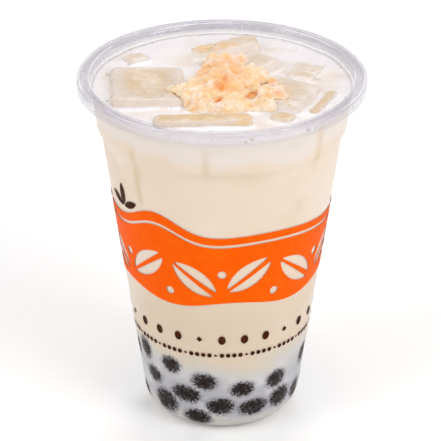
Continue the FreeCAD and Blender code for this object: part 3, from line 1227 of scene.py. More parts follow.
def motif_row_tree() -> bpy.types.NodeTree:
    """The tree that sets a row of small motifs round the wall and bends them to it.

    Returns:
        The geometry tree.
    """
    numbers = dict.fromkeys(("Height", "Radius", "Slope", "Lift", "Wide", "Tall"), "Float")
    inputs = {"Geometry": "Geometry", "Count": ("Int", 24), **numbers, "Every": ("Int", 3)}
    tree = new_tree("motif_row", "Geometry", {**inputs, "Material": "Material"})
    nodes = Nodes(tree)
    given = nodes.add("NodeGroupInput").outputs
    girth = nodes.math("MULTIPLY", given["Radius"], FULL_TURN)
    step = nodes.math("DIVIDE", girth, given["Count"])
    start = nodes.vector(nodes.math("MULTIPLY", girth, -0.5), 0.0, 0.0)
    inputs = {"Count": given["Count"], "Start Location": start, "Offset": nodes.vector(step, 0.0, 0.0)}
    line = nodes.add("GeometryNodeMeshLine", inputs).outputs[0]
    spots = nodes.add("GeometryNodeMeshToPoints", {0: line}).outputs[0]
    number = nodes.add("GeometryNodeInputIndex").outputs[0]
    picked = nodes.math("MODULO", number, given["Every"])
    is_dot = nodes.math("LESS_THAN", picked, 0.5)
    dot = nodes.add("GeometryNodeMeshCircle", {"Vertices": 20, "Radius": 0.5}, fill_type="TRIANGLE_FAN")
    gem = nodes.add("GeometryNodeMeshCircle", {"Vertices": 4, "Radius": 0.5}, fill_type="TRIANGLE_FAN")
    kinds = nodes.add("GeometryNodeGeometryToInstance")
    for shape in (gem, dot):
        tree.links.new(shape.outputs[0], kinds.inputs[0])
    narrow = nodes.ramp(is_dot, 0.0, 1.0, (1.0, 0.62))
    wide = nodes.math("MULTIPLY", given["Wide"], nodes.ramp(is_dot, 0.0, 1.0, (1.0, 0.8)))
    size = nodes.vector(wide, nodes.math("MULTIPLY", given["Tall"], narrow), 1.0)
    inputs = {
        "Points": spots,
        "Instance": kinds.outputs[0],
        "Pick Instance": True,
        "Instance Index": is_dot,
        "Scale": size,
    }
    row = nodes.add("GeometryNodeInstanceOnPoints", inputs).outputs[0]
    real = nodes.add("GeometryNodeRealizeInstances", {0: row}).outputs[0]
    x, y, _ = nodes.axes(nodes.add("GeometryNodeInputPosition").outputs[0])
    angle = nodes.math("DIVIDE", x, given["Radius"])
    rise = nodes.math("MULTIPLY_ADD", y, given["Slope"], given["Lift"])
    reach = nodes.math("ADD", given["Radius"], rise)
    bent = nodes.vector(
        nodes.math("MULTIPLY", reach, nodes.math("SINE", angle)),
        nodes.math("MULTIPLY", nodes.math("MULTIPLY", reach, nodes.math("COSINE", angle)), -1.0),
        nodes.math("ADD", given["Height"], y),
    )
    moved = nodes.add("GeometryNodeSetPosition", {"Geometry": real, "Position": bent}).outputs[0]
    dressed = nodes.add("GeometryNodeSetMaterial", {"Geometry": moved, "Material": given["Material"]})
    nodes.add("NodeGroupOutput", {0: dressed.outputs[0]})
    return tree


@dataclass(frozen=True)
class MotifRow:
    """A row of small shapes round the cup, in millimetres."""

    name: str
    height: float
    count: int
    wide: float
    tall: float
    every: int


@dataclass(frozen=True)
class Wave:
    """A wave round the cup: its height, how many times it swings and where it starts."""

    size: float
    times: int
    start: float

    def at(self, turn: np.ndarray) -> np.ndarray:
        """Its height at each turn."""
        return self.size * np.sin(self.times * turn + self.start)


@dataclass
class Print:
    """The print: an orange ribbon with leaves cut out of it, sprigs and rows of small shapes."""

    shape: CupShape
    inks: dict[Ink, bpy.types.Material]
    lift: float = 0.04
    middle: float = 67.5
    half_height: float = 13.0
    ribbon_reach: tuple[float, float] = (50.0, 93.0)
    ribbon_cell: float = 0.6
    top_wave: Wave = Wave(1.6, 3, 0.4)
    bottom_wave: Wave = Wave(1.3, 5, 1.0)
    crest: float = 9.0
    crest_turn: float = -0.62
    crest_reach: float = 0.34
    groove_half: float = 0.55
    groove_drop: float = 3.2
    groove_lag: float = 0.12
    leaves: int = 12
    leaf_length: float = 9.8
    leaf_width: float = 4.2
    leaf_lean: float = 38.0
    leaf_drop: float = 2.2
    leaf_shift: float = 1.0
    vein_half: float = 0.42
    vein_flare: float = 0.03
    seed_radius: float = 1.5
    seed_drop: float = 9.0
    seed_rise: float = 8.6
    sprig_turn: float = -1.02
    sprig_height: float = 83.4
    sprig_reach: tuple[float, float] = (82.0, 96.0)
    sprig_cell: float = 0.3
    sprig_leaves: tuple[tuple[float, float], ...] = ((28.0, 3.6), (90.0, 4.3), (152.0, 3.6))
    sprig_spread: tuple[float, float] = (1.12, 1.05)
    sprig_stalk: float = 1.2
    sprig_width: float = 1.25
    blank: float = 9.0
    rows: tuple[MotifRow, ...] = (
        MotifRow("print_beads", 40.3, 26, 2.5, 3.5, 4),
        MotifRow("print_line", 33.9, 92, 1.5, 1.7, 5),
    )

    @property
    def radius(self) -> float:
        """The wall's radius at the ribbon's middle."""
        return self.shape.outer(self.middle)

    def ribbon_field(self, turn: np.ndarray, height: np.ndarray) -> np.ndarray:
        """The ribbon: waves at both edges, one high crest, leaves and seeds cut out."""
        swell = self.crest * np.exp(-(((turn - self.crest_turn) / self.crest_reach) ** 2))
        top = self.middle + self.half_height + self.top_wave.at(turn) + swell
        bottom = self.middle - self.half_height + self.bottom_wave.at(turn)
        outside = np.maximum(height - top, bottom - height)
        groove_at = top - self.groove_drop - self.groove_lag * swell
        groove = self.groove_half - np.abs(height - groove_at)
        outside = np.maximum(outside, groove)
        along_wall = turn * self.radius
        step = FULL_TURN / self.leaves
        for number in range(self.leaves):
            at = (-math.pi + step * (number + 0.5)) * self.radius
            upper = number % 2 == 0
            lean = self.leaf_lean if upper else -self.leaf_lean
            centre = self.middle - self.leaf_drop + (self.leaf_shift if upper else -self.leaf_shift)
            p, q = turned_about(along_wall, height, at, centre, lean)
            blade = leaf(p, q, self.leaf_length, self.leaf_width)
            vein = self.vein_half - np.abs(q) + self.vein_flare * (p + self.leaf_length)
            outside = np.maximum(outside, np.minimum(-blade, -vein))
            seed_at = at + step * self.radius / 2
            seed_height = self.middle - self.seed_drop + self.seed_rise * (not upper)
            away = np.hypot(along_wall - seed_at, height - seed_height)
            outside = np.maximum(outside, self.seed_radius - away)
        return outside

    def sprig_field(self, turn: np.ndarray, height: np.ndarray) -> np.ndarray:
        """Sprigs of three leaves on a stalk, at the front left and at the back."""
        outside = np.full(turn.shape, self.blank)
        aside, upward = self.sprig_spread
        for middle in (self.sprig_turn, self.sprig_turn + math.pi):
            across = turn * self.radius
            at = middle * self.radius
            for lean, reach in self.sprig_leaves:
                angle = math.radians(lean)
                x = at + reach * aside * math.cos(angle)
                y = self.sprig_height + self.sprig_stalk + reach * upward * math.sin(angle)
                p, q = turned_about(across, height, x, y, lean)
                outside = np.minimum(outside, leaf(p, q, reach, self.sprig_width))
        return outside

    def lay(self, name: str, ink: Ink, field_of: Callable, heights: tuple[float, float], cell: float) -> None:
        """Cut one field out of a fine grid and lay it on the wall.

        Args:
            name: The piece's name.
            ink: Its ink.
            field_of: The field that is negative where there is ink.
            heights: Where the grid starts and ends.
            cell: The grid's size.
        """
        turns = np.linspace(-math.pi, math.pi, int(FULL_TURN * self.radius / cell))
        levels = np.arange(heights[0], heights[1], cell)
        flat, faces = clipped_grid(field_of, turns, levels)
        mesh = new_mesh(name, self.shape.wrap(flat, self.lift), faces)
        mesh.materials.append(self.inks[ink])
        piece(name, mesh)

    def build(self) -> None:
        """Lay the whole print on the cup."""
        self.lay("print_ribbon", Ink.ORANGE, self.ribbon_field, self.ribbon_reach, self.ribbon_cell)
        self.lay("print_sprigs", Ink.BROWN, self.sprig_field, self.sprig_reach, self.sprig_cell)
        tree = motif_row_tree()
        for row in self.rows:
            values = {
                "Count": row.count,
                "Height": row.height * MM,
                "Radius": self.shape.outer(row.height) * MM,
                "Slope": self.shape.slope,
                "Lift": self.lift * MM,
                "Wide": row.wide * MM,
                "Tall": row.tall * MM,
                "Every": row.every,
                "Material": self.inks[Ink.BROWN],
            }
            piece(row.name, grown(bpy.data.meshes.new(row.name), tree, values))


# ---------------------------------------------------------------- the pearls


@dataclass(frozen=True)
class SeenPearl:
    """A pearl at the wall: its turn and height, and the width and height of the patch it presses."""

    degrees: float
    height: float
    wide: float
    tall: float


@dataclass
class TapiocaPearls:
    """Soft dark pearls at the bottom, some pressed flat against the wall."""

    shape: CupShape
    finish: bpy.types.Material
    radius: float = 4.6
    press: float = 1.3
    skin: float = 0.46
    blur: float = 0.5
    seen: tuple[SeenPearl, ...] = (
        SeenPearl(-61, 28.4, 5.6, 6.9),
        SeenPearl(-36, 26.8, 5.8, 5.3),
        SeenPearl(-54, 18.9, 6.0, 4.4),
        SeenPearl(-12, 22.5, 6.6, 5.7),
        SeenPearl(-26, 16.1, 8.3, 6.1),
        SeenPearl(-44, 10.5, 7.6, 8.0),
        SeenPearl(-1, 12.3, 7.4, 5.9),
        SeenPearl(-18, 7.0, 7.1, 5.4),
        SeenPearl(14, 19.2, 6.3, 4.9),
        SeenPearl(23, 10.9, 8.1, 5.8),
        SeenPearl(40, 20.2, 6.2, 5.9),
        SeenPearl(46, 11.8, 7.3, 6.9),
        SeenPearl(67, 10.0, 6.0, 6.5),
        SeenPearl(72, 23.2, 5.5, 6.5),
    )
    around: int = 20
    within: int = 26
    tries: int = 8000
    top: float = 24.0
    least: float = 3.4
    gap: float = 1.75
    wall_turns: tuple[float, float] = (84.0, 292.0)
    wall_heights: tuple[float, float] = (7.0, 27.0)
    inner_reach: float = 19.0
    inner_low: float = 7.6
    lumpy: float = 0.09
    lowest: float = 0.75
    soft_rim: float = 0.7
    halo: float = 1.15
    centres: list[Vector] = field(default_factory=list, init=False)
    sizes: list[np.ndarray] = field(default_factory=list, init=False)
    turns: list[np.ndarray] = field(default_factory=list, init=False)

    def add(self, centre: Vector, size: np.ndarray, turn: np.ndarray) -> None:
        """Keep one pearl's middle, its three sizes and its turn."""
        self.centres.append(centre)
        self.sizes.append(size)
        self.turns.append(turn)

    def at_wall(self, degrees: float, height: float, size: float) -> Vector:
        """The middle of a pearl pressed to the wall."""
        reach = float(self.shape.side(np.array(height), self.shape.wall)) - size + self.press
        angle = math.radians(degrees)
        return Vector((reach * math.sin(angle), -reach * math.cos(angle), height))

    def free(self, spot: Vector) -> bool:
        """Whether a new pearl keeps its distance from all others."""
        return all((spot - other).length > self.gap * self.radius for other in self.centres)

    def place(self) -> None:
        """Choose where every pearl lies."""
        draw = np.random.default_rng(SEED)
        flat = math.sqrt(1 - ((self.radius - self.press) / self.radius) ** 2)
        for pearl in self.seen:
            sides = (pearl.wide, pearl.tall)
            wide, tall = (max((side - self.blur) / 2 / flat, self.least) for side in sides)
            turn = np.array(Euler((0, 0, math.radians(pearl.degrees))).to_matrix())
            spot = self.at_wall(pearl.degrees, pearl.height, self.radius)
            self.add(spot, np.array((wide, self.radius, tall)), turn)
        for wanted, at_wall in ((self.around, True), (self.within, False)):
            made = 0
            for _ in range(self.tries):
                size = self.radius * draw.uniform(0.9, 1.04)
                turn = np.array(Euler(draw.uniform(0, FULL_TURN, 3)).to_matrix())
                if at_wall:
                    degrees = draw.uniform(*self.wall_turns)
                    spot = self.at_wall(degrees, draw.uniform(*self.wall_heights), size)
                else:
                    reach = self.inner_reach * math.sqrt(draw.uniform())
                    angle = draw.uniform(0, FULL_TURN)
                    level = draw.uniform(self.inner_low, self.top)
                    spot = Vector((reach * math.cos(angle), reach * math.sin(angle), level))
                if made < wanted and self.free(spot):
                    self.add(spot, size * draw.uniform(0.92, 1.05, 3), turn)
                    made += 1

    def build(self) -> None:
        """Make every pearl and join them in one piece."""
        self.place()
        points, faces, rims = [], [], []
        for number, (centre, size, turn) in enumerate(zip(self.centres, self.sizes, self.turns)):
            ball = bmesh.new()
            fine = 5 if number < len(self.seen) else 4
            bmesh.ops.create_icosphere(ball, subdivisions=fine, radius=1.0)
            shell = np.array([v.co for v in ball.verts])
            start = len(points)
            faces += [[start + v.index for v in face.verts] for face in ball.faces]
            ball.free()
            lumps = 1 + self.lumpy * wobble(shell, 0.8, number + 0.5, 3)
            body = (shell * lumps[:, None] * size) @ turn.T + np.array(centre)
            limit = self.shape.side(np.maximum(body[:, 2], 0.7), self.shape.wall - self.skin - 0.05)
            reach = np.hypot(body[:, 0], body[:, 1])
            over = np.clip(reach - limit, 0, None)
            body[:, :2] *= (np.minimum(reach, limit) / reach)[:, None]
            body[:, 2] = np.maximum(body[:, 2], self.lowest)
            rims.append(np.where(over > 0, np.clip(1 - over / self.soft_rim, 0, 1), 1.0))
            points += body.tolist()
        mesh = new_mesh("pearls", np.array(points), faces)
        keep_values(mesh, "rim", np.concatenate(rims))
        mesh.materials.append(self.finish)
        piece("pearls", outward(mesh), ["tapioca_pearls"])

    def shade_at(self, points: np.ndarray) -> np.ndarray:
        """How dark the pearls make the milk at each point, from 0 to 1."""
        shade = np.zeros(len(points))
        for centre, size, turn in zip(self.centres, self.sizes, self.turns):
            own = (points - np.array(centre)) @ turn
            away = (np.linalg.norm(own / size, axis=1) - 1) * size.mean()
            shade = np.maximum(shade, np.exp(-((np.clip(away, 0, None) / self.halo) ** 1.2)))
        return shade


# ---------------------------------------------------------------- the ice


@dataclass
class Ice:
    """The pieces of ice, melted a little out of their first shape."""

    names: tuple[str, ...]
    finish: bpy.types.Material
    level: float
    voxel: float = 0.7
    rounding: int = 7
    melt: float = 0.3
    # How tan each piece is, which sets how strongly its middle and its steep sides take the painted shade.
    tans: tuple[tuple[str, float], ...] = (
        ("ice_front", 1.0),
        ("ice_chip_front", 0.9),
        ("ice_chip_right", 0.9),
        ("ice_left", 0.65),
        ("ice_back", 0.5),
    )
    plain_tan: float = 0.3
    # How far the painted edge highlights reach and how much the tan pieces lose of them, and where the
    # painted shade in the middle starts and how fast it grows.
    edge_width: float = 3.6
    edge_lost: float = 0.75
    heart_from: float = 0.22
    heart_over: float = 0.35
    dent: float = 0.12
    search: float = 12.0
    far: float = 50.0
    stains: tuple[tuple[float, float, float, float], ...] = (
        (-3.0, 28.0, 7.0, 2.6),
        (7.0, -29.6, 4.6, 3.0),
        (-12.0, -7.0, 5.0, 6.0),
        (17.0, -9.0, 5.0, 6.0),
    )
    trees: list[BVHTree] = field(default_factory=list, init=False)

    def build(self) -> None:
        """Make each piece of ice from its solid."""
        for number, name in enumerate(self.names):
            mesh = softened(remeshed([copy_of(name)], self.voxel), self.rounding)
            points, normals = points_of(mesh), normals_of(mesh)
            waves = wobble(points, 7.0, number + 1.5)
            dents = wobble(points, 2.4, number + 4.5, 2)
            inward = self.melt * (0.5 + 0.5 * np.clip(waves * 1.6, -1, 1)) + self.dent * np.abs(dents)
            points -= normals * inward[:, None]
            move_points(mesh, points)
            self.mark(mesh, points, dict(self.tans).get(name, self.plain_tan))
            mesh.materials.append(self.finish)
            piece(f"{name}_melting", mesh, [name])
            self.trees.append(search_tree(mesh))

    def mark(self, mesh: bpy.types.Mesh, points: np.ndarray, tan: float) -> None:
        """Keep on the mesh how near each point is to an edge and to the middle, for the painted highlights
        and the painted shade, and how tan and how stained it is.

        Args:
            mesh: One piece of ice.
            points: Its points.
            tan: How tan its middle is.
        """
        flat = points[:, :2] - points[:, :2].mean(0)
        _, axes = np.linalg.eigh(np.cov(flat.T))
        own = np.abs(flat @ axes)
        half = own.max(0)
        inside = np.min(half - own, axis=1)
        share = inside / half.min()
        lifted = points[:, 2] > self.level
        edge = np.clip(1 - inside / self.edge_width, 0, 1) * (1 - self.edge_lost * tan)
        keep_values(mesh, "edge", edge * lifted)
        keep_values(mesh, "heart_shade", np.clip((share - self.heart_from) / self.heart_over, 0, 1) * tan)
        keep_values(mesh, "tan", np.full(len(points), 0.95 * tan**1.5))
        stain = np.zeros(len(points))
        for x, y, long, wide in self.stains:
            away = ((points[:, 0] - x) / long) ** 2 + ((points[:, 1] - y) / wide) ** 2
            stain = np.maximum(stain, np.exp(-(away**1.5)))
        keep_values(mesh, "stain", stain)

    def outside(self, points: np.ndarray, *others: BVHTree) -> np.ndarray:
        """How far each point lies outside the nearest piece of ice or other body, negative inside."""
        nearest = np.full(len(points), self.far)
        for tree in (*self.trees, *others):
            for i, point in enumerate(points.tolist()):
                place, normal, _, away = tree.find_nearest(Vector(point), self.search)
                if place is None:
                    continue
                sign = 1 if (Vector(point) - place).dot(normal) > 0 else -1
                nearest[i] = min(nearest[i], sign * away)
        return nearest


# ---------------------------------------------------------------- the milk tea


@dataclass(frozen=True)
class IceStreak:
    """A soft tan mark where ice lies against the wall: turn and height of its middle, and its reach."""

    degrees: float
    height: float
    wide: float
    tall: float
    strength: float


@dataclass(frozen=True)
class SunkenIce:
    """Ice that shows faintly through the drink's surface: its middle, reach and turn."""

    x: float
    y: float
    long: float
    wide: float
    degrees: float
    strength: float


@dataclass
class MilkTea:
    """The drink, which reaches just into the wall, with froth on top."""

    shape: CupShape
    pearls: TapiocaPearls
    ice: Ice
    heap: BVHTree
    finish: bpy.types.Material
    froth: bpy.types.Material
    inset: float = 0.22
    segments: int = 300
    spacing: float = 0.62
    rings: int = 50
    meniscus: float = 0.35
    meniscus_reach: float = 1.3
    swell: float = 0.16
    ripple: float = 0.07
    cling: float = 0.5
    cling_reach: float = 0.9
    sink_from: float = 1.1
    sink_rate: float = 1.6
    hollow: float = 5.0
    under: float = 2.2
    froth_at_wall: float = 3.0
    froth_at_ice: float = 1.4
    froth_share: float = 0.8
    froth_grain: float = 0.14
    streaks: tuple[IceStreak, ...] = (
        IceStreak(-44, 99.0, 1.6, 11.0, 0.75),
        IceStreak(-7, 111.0, 1.2, 6.0, 0.5),
        IceStreak(48, 110.0, 1.5, 8.0, 0.8),
        IceStreak(13, 104.0, 4.0, 3.0, 0.3),
        IceStreak(41, 89.0, 3.0, 4.0, 0.3),
        IceStreak(-75, 104.0, 3.0, 7.0, 0.4),
        IceStreak(100, 100.0, 3.0, 9.0, 0.5),
        IceStreak(150, 106.0, 2.0, 8.0, 0.6),
        IceStreak(205, 96.0, 4.0, 6.0, 0.4),
    )
    sunken: tuple[SunkenIce, ...] = (
        SunkenIce(26.0, 9.0, 12.0, 8.0, -35.0, 0.42),
        SunkenIce(31.0, -8.0, 5.0, 10.0, -20.0, 0.35),
        SunkenIce(-7.0, 21.0, 10.0, 6.0, 15.0, 0.4),
        SunkenIce(-35.0, 2.0, 4.5, 9.0, 0.0, 0.3),
        SunkenIce(15.0, -27.0, 7.0, 4.0, 20.0, 0.3),
        SunkenIce(13.0, 27.0, 7.0, 5.0, -20.0, 0.3),
    )
    bubbles: Beads = Beads("froth_bubbles", 260000.0, 0.22, 1.0, 4.0, 0.7, 5, on_froth=True)
    bubbles_under: float = 0.4
    tree: BVHTree | None = field(default=None, init=False)

    def top_heights(self, points: np.ndarray, edge: float) -> tuple[np.ndarray, np.ndarray]:
        """The surface of the drink and how frothy it is.

        Args:
            points: The places, at the drink's level.
            edge: The radius where it meets the wall.

        Returns:
            The heights, and the froth from 0 to 1.
        """
        reach = np.hypot(points[:, 0], points[:, 1])
        outside = self.ice.outside(points, self.heap)
        swell = self.swell * wobble(points, 9.0, 2.2) + self.ripple * wobble(points, 2.2, 5.2, 2)
        climb = self.meniscus * np.exp(-(edge - reach) / self.meniscus_reach)
        clear = np.clip(outside, 0, None)
        cling = self.cling * np.exp(-clear / self.cling_reach)
        below = self.ice.outside(points - (0, 0, self.under))
        sink = np.clip(-np.minimum(outside, below) - self.sink_from, 0, None) * self.sink_rate
        foam = np.exp(-(edge - reach) / self.froth_at_wall)
        foam = np.clip(foam + self.froth_share * np.exp(-clear / self.froth_at_ice), 0, 1)
        foam *= np.clip(0.75 + 0.6 * wobble(points, 6.0, 8.1), 0.1, 1) * (outside > -0.6)
        grainy = self.froth_grain * foam * np.abs(wobble(points, 1.1, 3.3, 2))
        heights = self.shape.level + swell * (outside > 0) + climb + cling + grainy
        return heights - np.minimum(sink, self.hollow), foam

    def streak_at(self, points: np.ndarray) -> np.ndarray:
        """How much ice shows through the milk at each point of the side."""
        turn = np.degrees(np.arctan2(points[:, 0], -points[:, 1]))
        shade = np.zeros(len(points))
        for streak in self.streaks:
            away = (turn - streak.degrees + 180) % 360 - 180
            across = away / 57.3 * np.hypot(points[:, 0], points[:, 1]) / streak.wide
            up = (points[:, 2] - streak.height) / streak.tall
            shade = np.maximum(shade, streak.strength * np.exp(-(across**2) - up**4))
        ragged = np.clip(0.8 + 0.7 * wobble(points * (1, 1, 0.35), 2.5, 6.6), 0, 1)
        return shade * ragged

    def sunken_at(self, points: np.ndarray) -> np.ndarray:
        """How much sunken ice shows at each point of the surface."""
        shade = np.zeros(len(points))
        for ice in self.sunken:
            u, v = turned_about(points[:, 0], points[:, 1], ice.x, ice.y, ice.degrees)
            away = (np.abs(u) / ice.long) ** 4 + (np.abs(v) / ice.wide) ** 4
            shade = np.maximum(shade, ice.strength * np.exp(-away))
        return shade * np.clip(0.75 + 0.8 * wobble(points, 4.0, 12.4), 0, 1.2)

    def build(self) -> None:
        """Make the body of the drink and its frothy top."""
        corners = self.shape.section_inside(self.inset)
        edge = float(self.shape.side(np.array(self.shape.level), self.inset))
        corners.append((edge, self.shape.level, 0.0))
        side = resampled(rounded(corners), self.spacing)
        turns = np.linspace(0, FULL_TURN, self.segments, endpoint=False)
        cosine, sine = np.cos(turns), np.sin(turns)
        shrink = 1 - np.linspace(0, 1, self.rings + 1)[1:-1] ** 0.9
        section = [*side[1:], *((edge * share, self.shape.level) for share in shrink)]
        rows = [np.c_[r * cosine, r * sine, np.full(self.segments, z)] for r, z in section]
        points = np.vstack([[0, 0, side[0][1]], *rows, [0, 0, self.shape.level]])
        first_top = 1 + (len(side) - 2) * self.segments
        heights, foam = self.top_heights(points[first_top:], edge)
        points[first_top:, 2] = heights
        froth = np.zeros(len(points))
        froth[first_top:] = foam
        mesh = new_mesh("milk_tea_body", points, self.faces(len(rows)))
        sides = np.arange(len(points)) < first_top + self.segments
        low = points[:, 2] < 40
        shade = np.zeros(len(points))
        shade[low] = self.pearls.shade_at(points[low])
        streak = np.zeros(len(points))
        streak[sides] = self.streak_at(points[sides])
        streak[~sides] = self.sunken_at(points[~sides])
        keep_values(mesh, "pearl_shade", shade)
        keep_values(mesh, "ice_shade", streak)
        keep_values(mesh, "foam", froth)
        mesh.materials.append(self.finish)
        piece("milk_tea_body", outward(mesh), ["milk_tea"])
        self.tree = search_tree(mesh)
        bubbles = self.bubbles.over(mesh, self.shape.level - self.bubbles_under, self.froth)
        piece("froth_bubbles", bubbles)

    def faces(self, rows: int) -> list[list[int]]:
        """The faces between the rows, with a fan at each end."""
        count, last = self.segments, 1 + rows * self.segments
        ahead = [(i + 1) % count for i in range(count)]
        made = [[0, 1 + ahead[i], 1 + i] for i in range(count)]
        for row in range(rows - 1):
            low, high = 1 + row * count, 1 + (row + 1) * count
            made += [[low + i, low + ahead[i], high + ahead[i], high + i] for i in range(count)]
        top = last - count
        made += [[top + i, top + ahead[i], last] for i in range(count)]
        return made


# ---------------------------------------------------------------- the topping


def crumb_tree() -> bpy.types.NodeTree:
    """The tree that heaps ragged crumbs over a core.

    Returns:
        The geometry tree.
    """
    inputs = {
        "Core": "Geometry",
        "Density": "Float",
        "Smallest": "Vector",
        "Largest": "Vector",
        "Raggedness": "Float",
        "Sink": "Float",
        "Fineness": ("Int", 2),
        "On Points": ("Bool", False),
        "Seed": ("Int", SEED),
        "Material": "Material",
    }
    tree = new_tree("crumbs_on_core", "Geometry", inputs)
    nodes = Nodes(tree)
    given = nodes.add("NodeGroupInput").outputs
    upward = nodes.axes(nodes.add("GeometryNodeInputNormal").outputs[0])[2]
    inputs = {
        "Mesh": given[0],
        "Selection": nodes.math("GREATER_THAN", upward, 0.05),
        "Density": given["Density"],
        "Seed": given["Seed"],
    }
    spread = nodes.add("GeometryNodeDistributePointsOnFaces", inputs)
    inputs = {0: spread.outputs[1], "Scale": nodes.math("MULTIPLY", given["Sink"], -1.0)}
    inward = nodes.add("ShaderNodeVectorMath", inputs, operation="SCALE").outputs[0]
    sunk = nodes.add("GeometryNodeSetPosition", {"Geometry": spread.outputs[0], "Offset": inward})
    strewn = nodes.add("GeometryNodeMeshToPoints", {0: given[0]}).outputs[0]
    inputs = {"Switch": given["On Points"], "False": sunk.outputs[0], "True": strewn}
    spots = nodes.add("GeometryNodeSwitch", inputs, input_type="GEOMETRY").outputs[0]
    inputs = {0: given["Smallest"], 1: given["Largest"], "Seed": 11}
    size = nodes.add("FunctionNodeRandomValue", inputs, data_type="FLOAT_VECTOR").outputs[0]
    inputs = {0: (0.0, 0.0, 0.0), 1: (FULL_TURN, FULL_TURN, FULL_TURN), "Seed": 12}
    turn = nodes.add("FunctionNodeRandomValue", inputs, data_type="FLOAT_VECTOR").outputs[0]
    ball = nodes.add("GeometryNodeMeshIcoSphere", {"Radius": 1.0, "Subdivisions": given["Fineness"]})
    inputs = {"Points": spots, "Instance": ball.outputs[0], "Rotation": turn, "Scale": size}
    crumbs = nodes.add("GeometryNodeInstanceOnPoints", inputs).outputs[0]
    tone = nodes.add("FunctionNodeRandomValue", {2: 0.0, 3: 1.0, "Seed": 13}, data_type="FLOAT").outputs[1]
    inputs = {"Geometry": crumbs, "Name": "tone", "Value": tone}
    toned = nodes.add("GeometryNodeStoreNamedAttribute", inputs, data_type="FLOAT", domain="INSTANCE")
    real = nodes.add("GeometryNodeRealizeInstances", {0: toned.outputs[0]}).outputs[0]
    place = nodes.add("GeometryNodeInputPosition").outputs[0]
    rough = nodes.add("ShaderNodeTexNoise", {"Vector": place, "Scale": 800.0, "Detail": 3.0}).outputs[1]
    centred = nodes.add("ShaderNodeVectorMath", {0: rough, 1: (0.5, 0.5, 0.5)}, operation="SUBTRACT")
    inputs = {0: centred.outputs[0], "Scale": given["Raggedness"]}
    shift = nodes.add("ShaderNodeVectorMath", inputs, operation="SCALE").outputs[0]
    torn = nodes.add("GeometryNodeSetPosition", {"Geometry": real, "Offset": shift}).outputs[0]
    nodes.hand_out(torn, given["Material"])
    return tree


@dataclass(frozen=True)
class CrumbLayer:
    """One layer of crumbs: how many to a square metre, and their sizes in millimetres."""

    name: str
    density: float
    smallest: tuple[float, float, float]
    largest: tuple[float, float, float]
    raggedness: float
    sink: float
    fineness: int

    def over(self, source: bpy.types.Mesh, finish: bpy.types.Material, **more: object) -> bpy.types.Mesh:
        """The layer's crumbs.

        Args:
            source: The mesh that they lie on.
            finish: Their material.
            more: Further inputs of the tree.

        Returns:
            The crumbs as one mesh.
        """
        values = {
            "Density": self.density,
            "Smallest": tuple(v * MM for v in self.smallest),
            "Largest": tuple(v * MM for v in self.largest),
            "Raggedness": self.raggedness * MM,
            "Sink": self.sink * MM,
            "Fineness": self.fineness,
            "Material": finish,
        }
        tree = bpy.data.node_groups.get("crumbs_on_core") or crumb_tree()
        return grown(source.copy(), tree, values | more)


@dataclass(frozen=True)
class Hollow:
    """A place where the topping is coloured deep orange and sunk a little."""

    x: float
    y: float
    reach: float
    strength: float


@dataclass(frozen=True)
class Stray:
    """A place where loose crumbs lie apart from the heap: its middle, spread and number."""

    x: float
    y: float
    long: float
    wide: float
    count: int


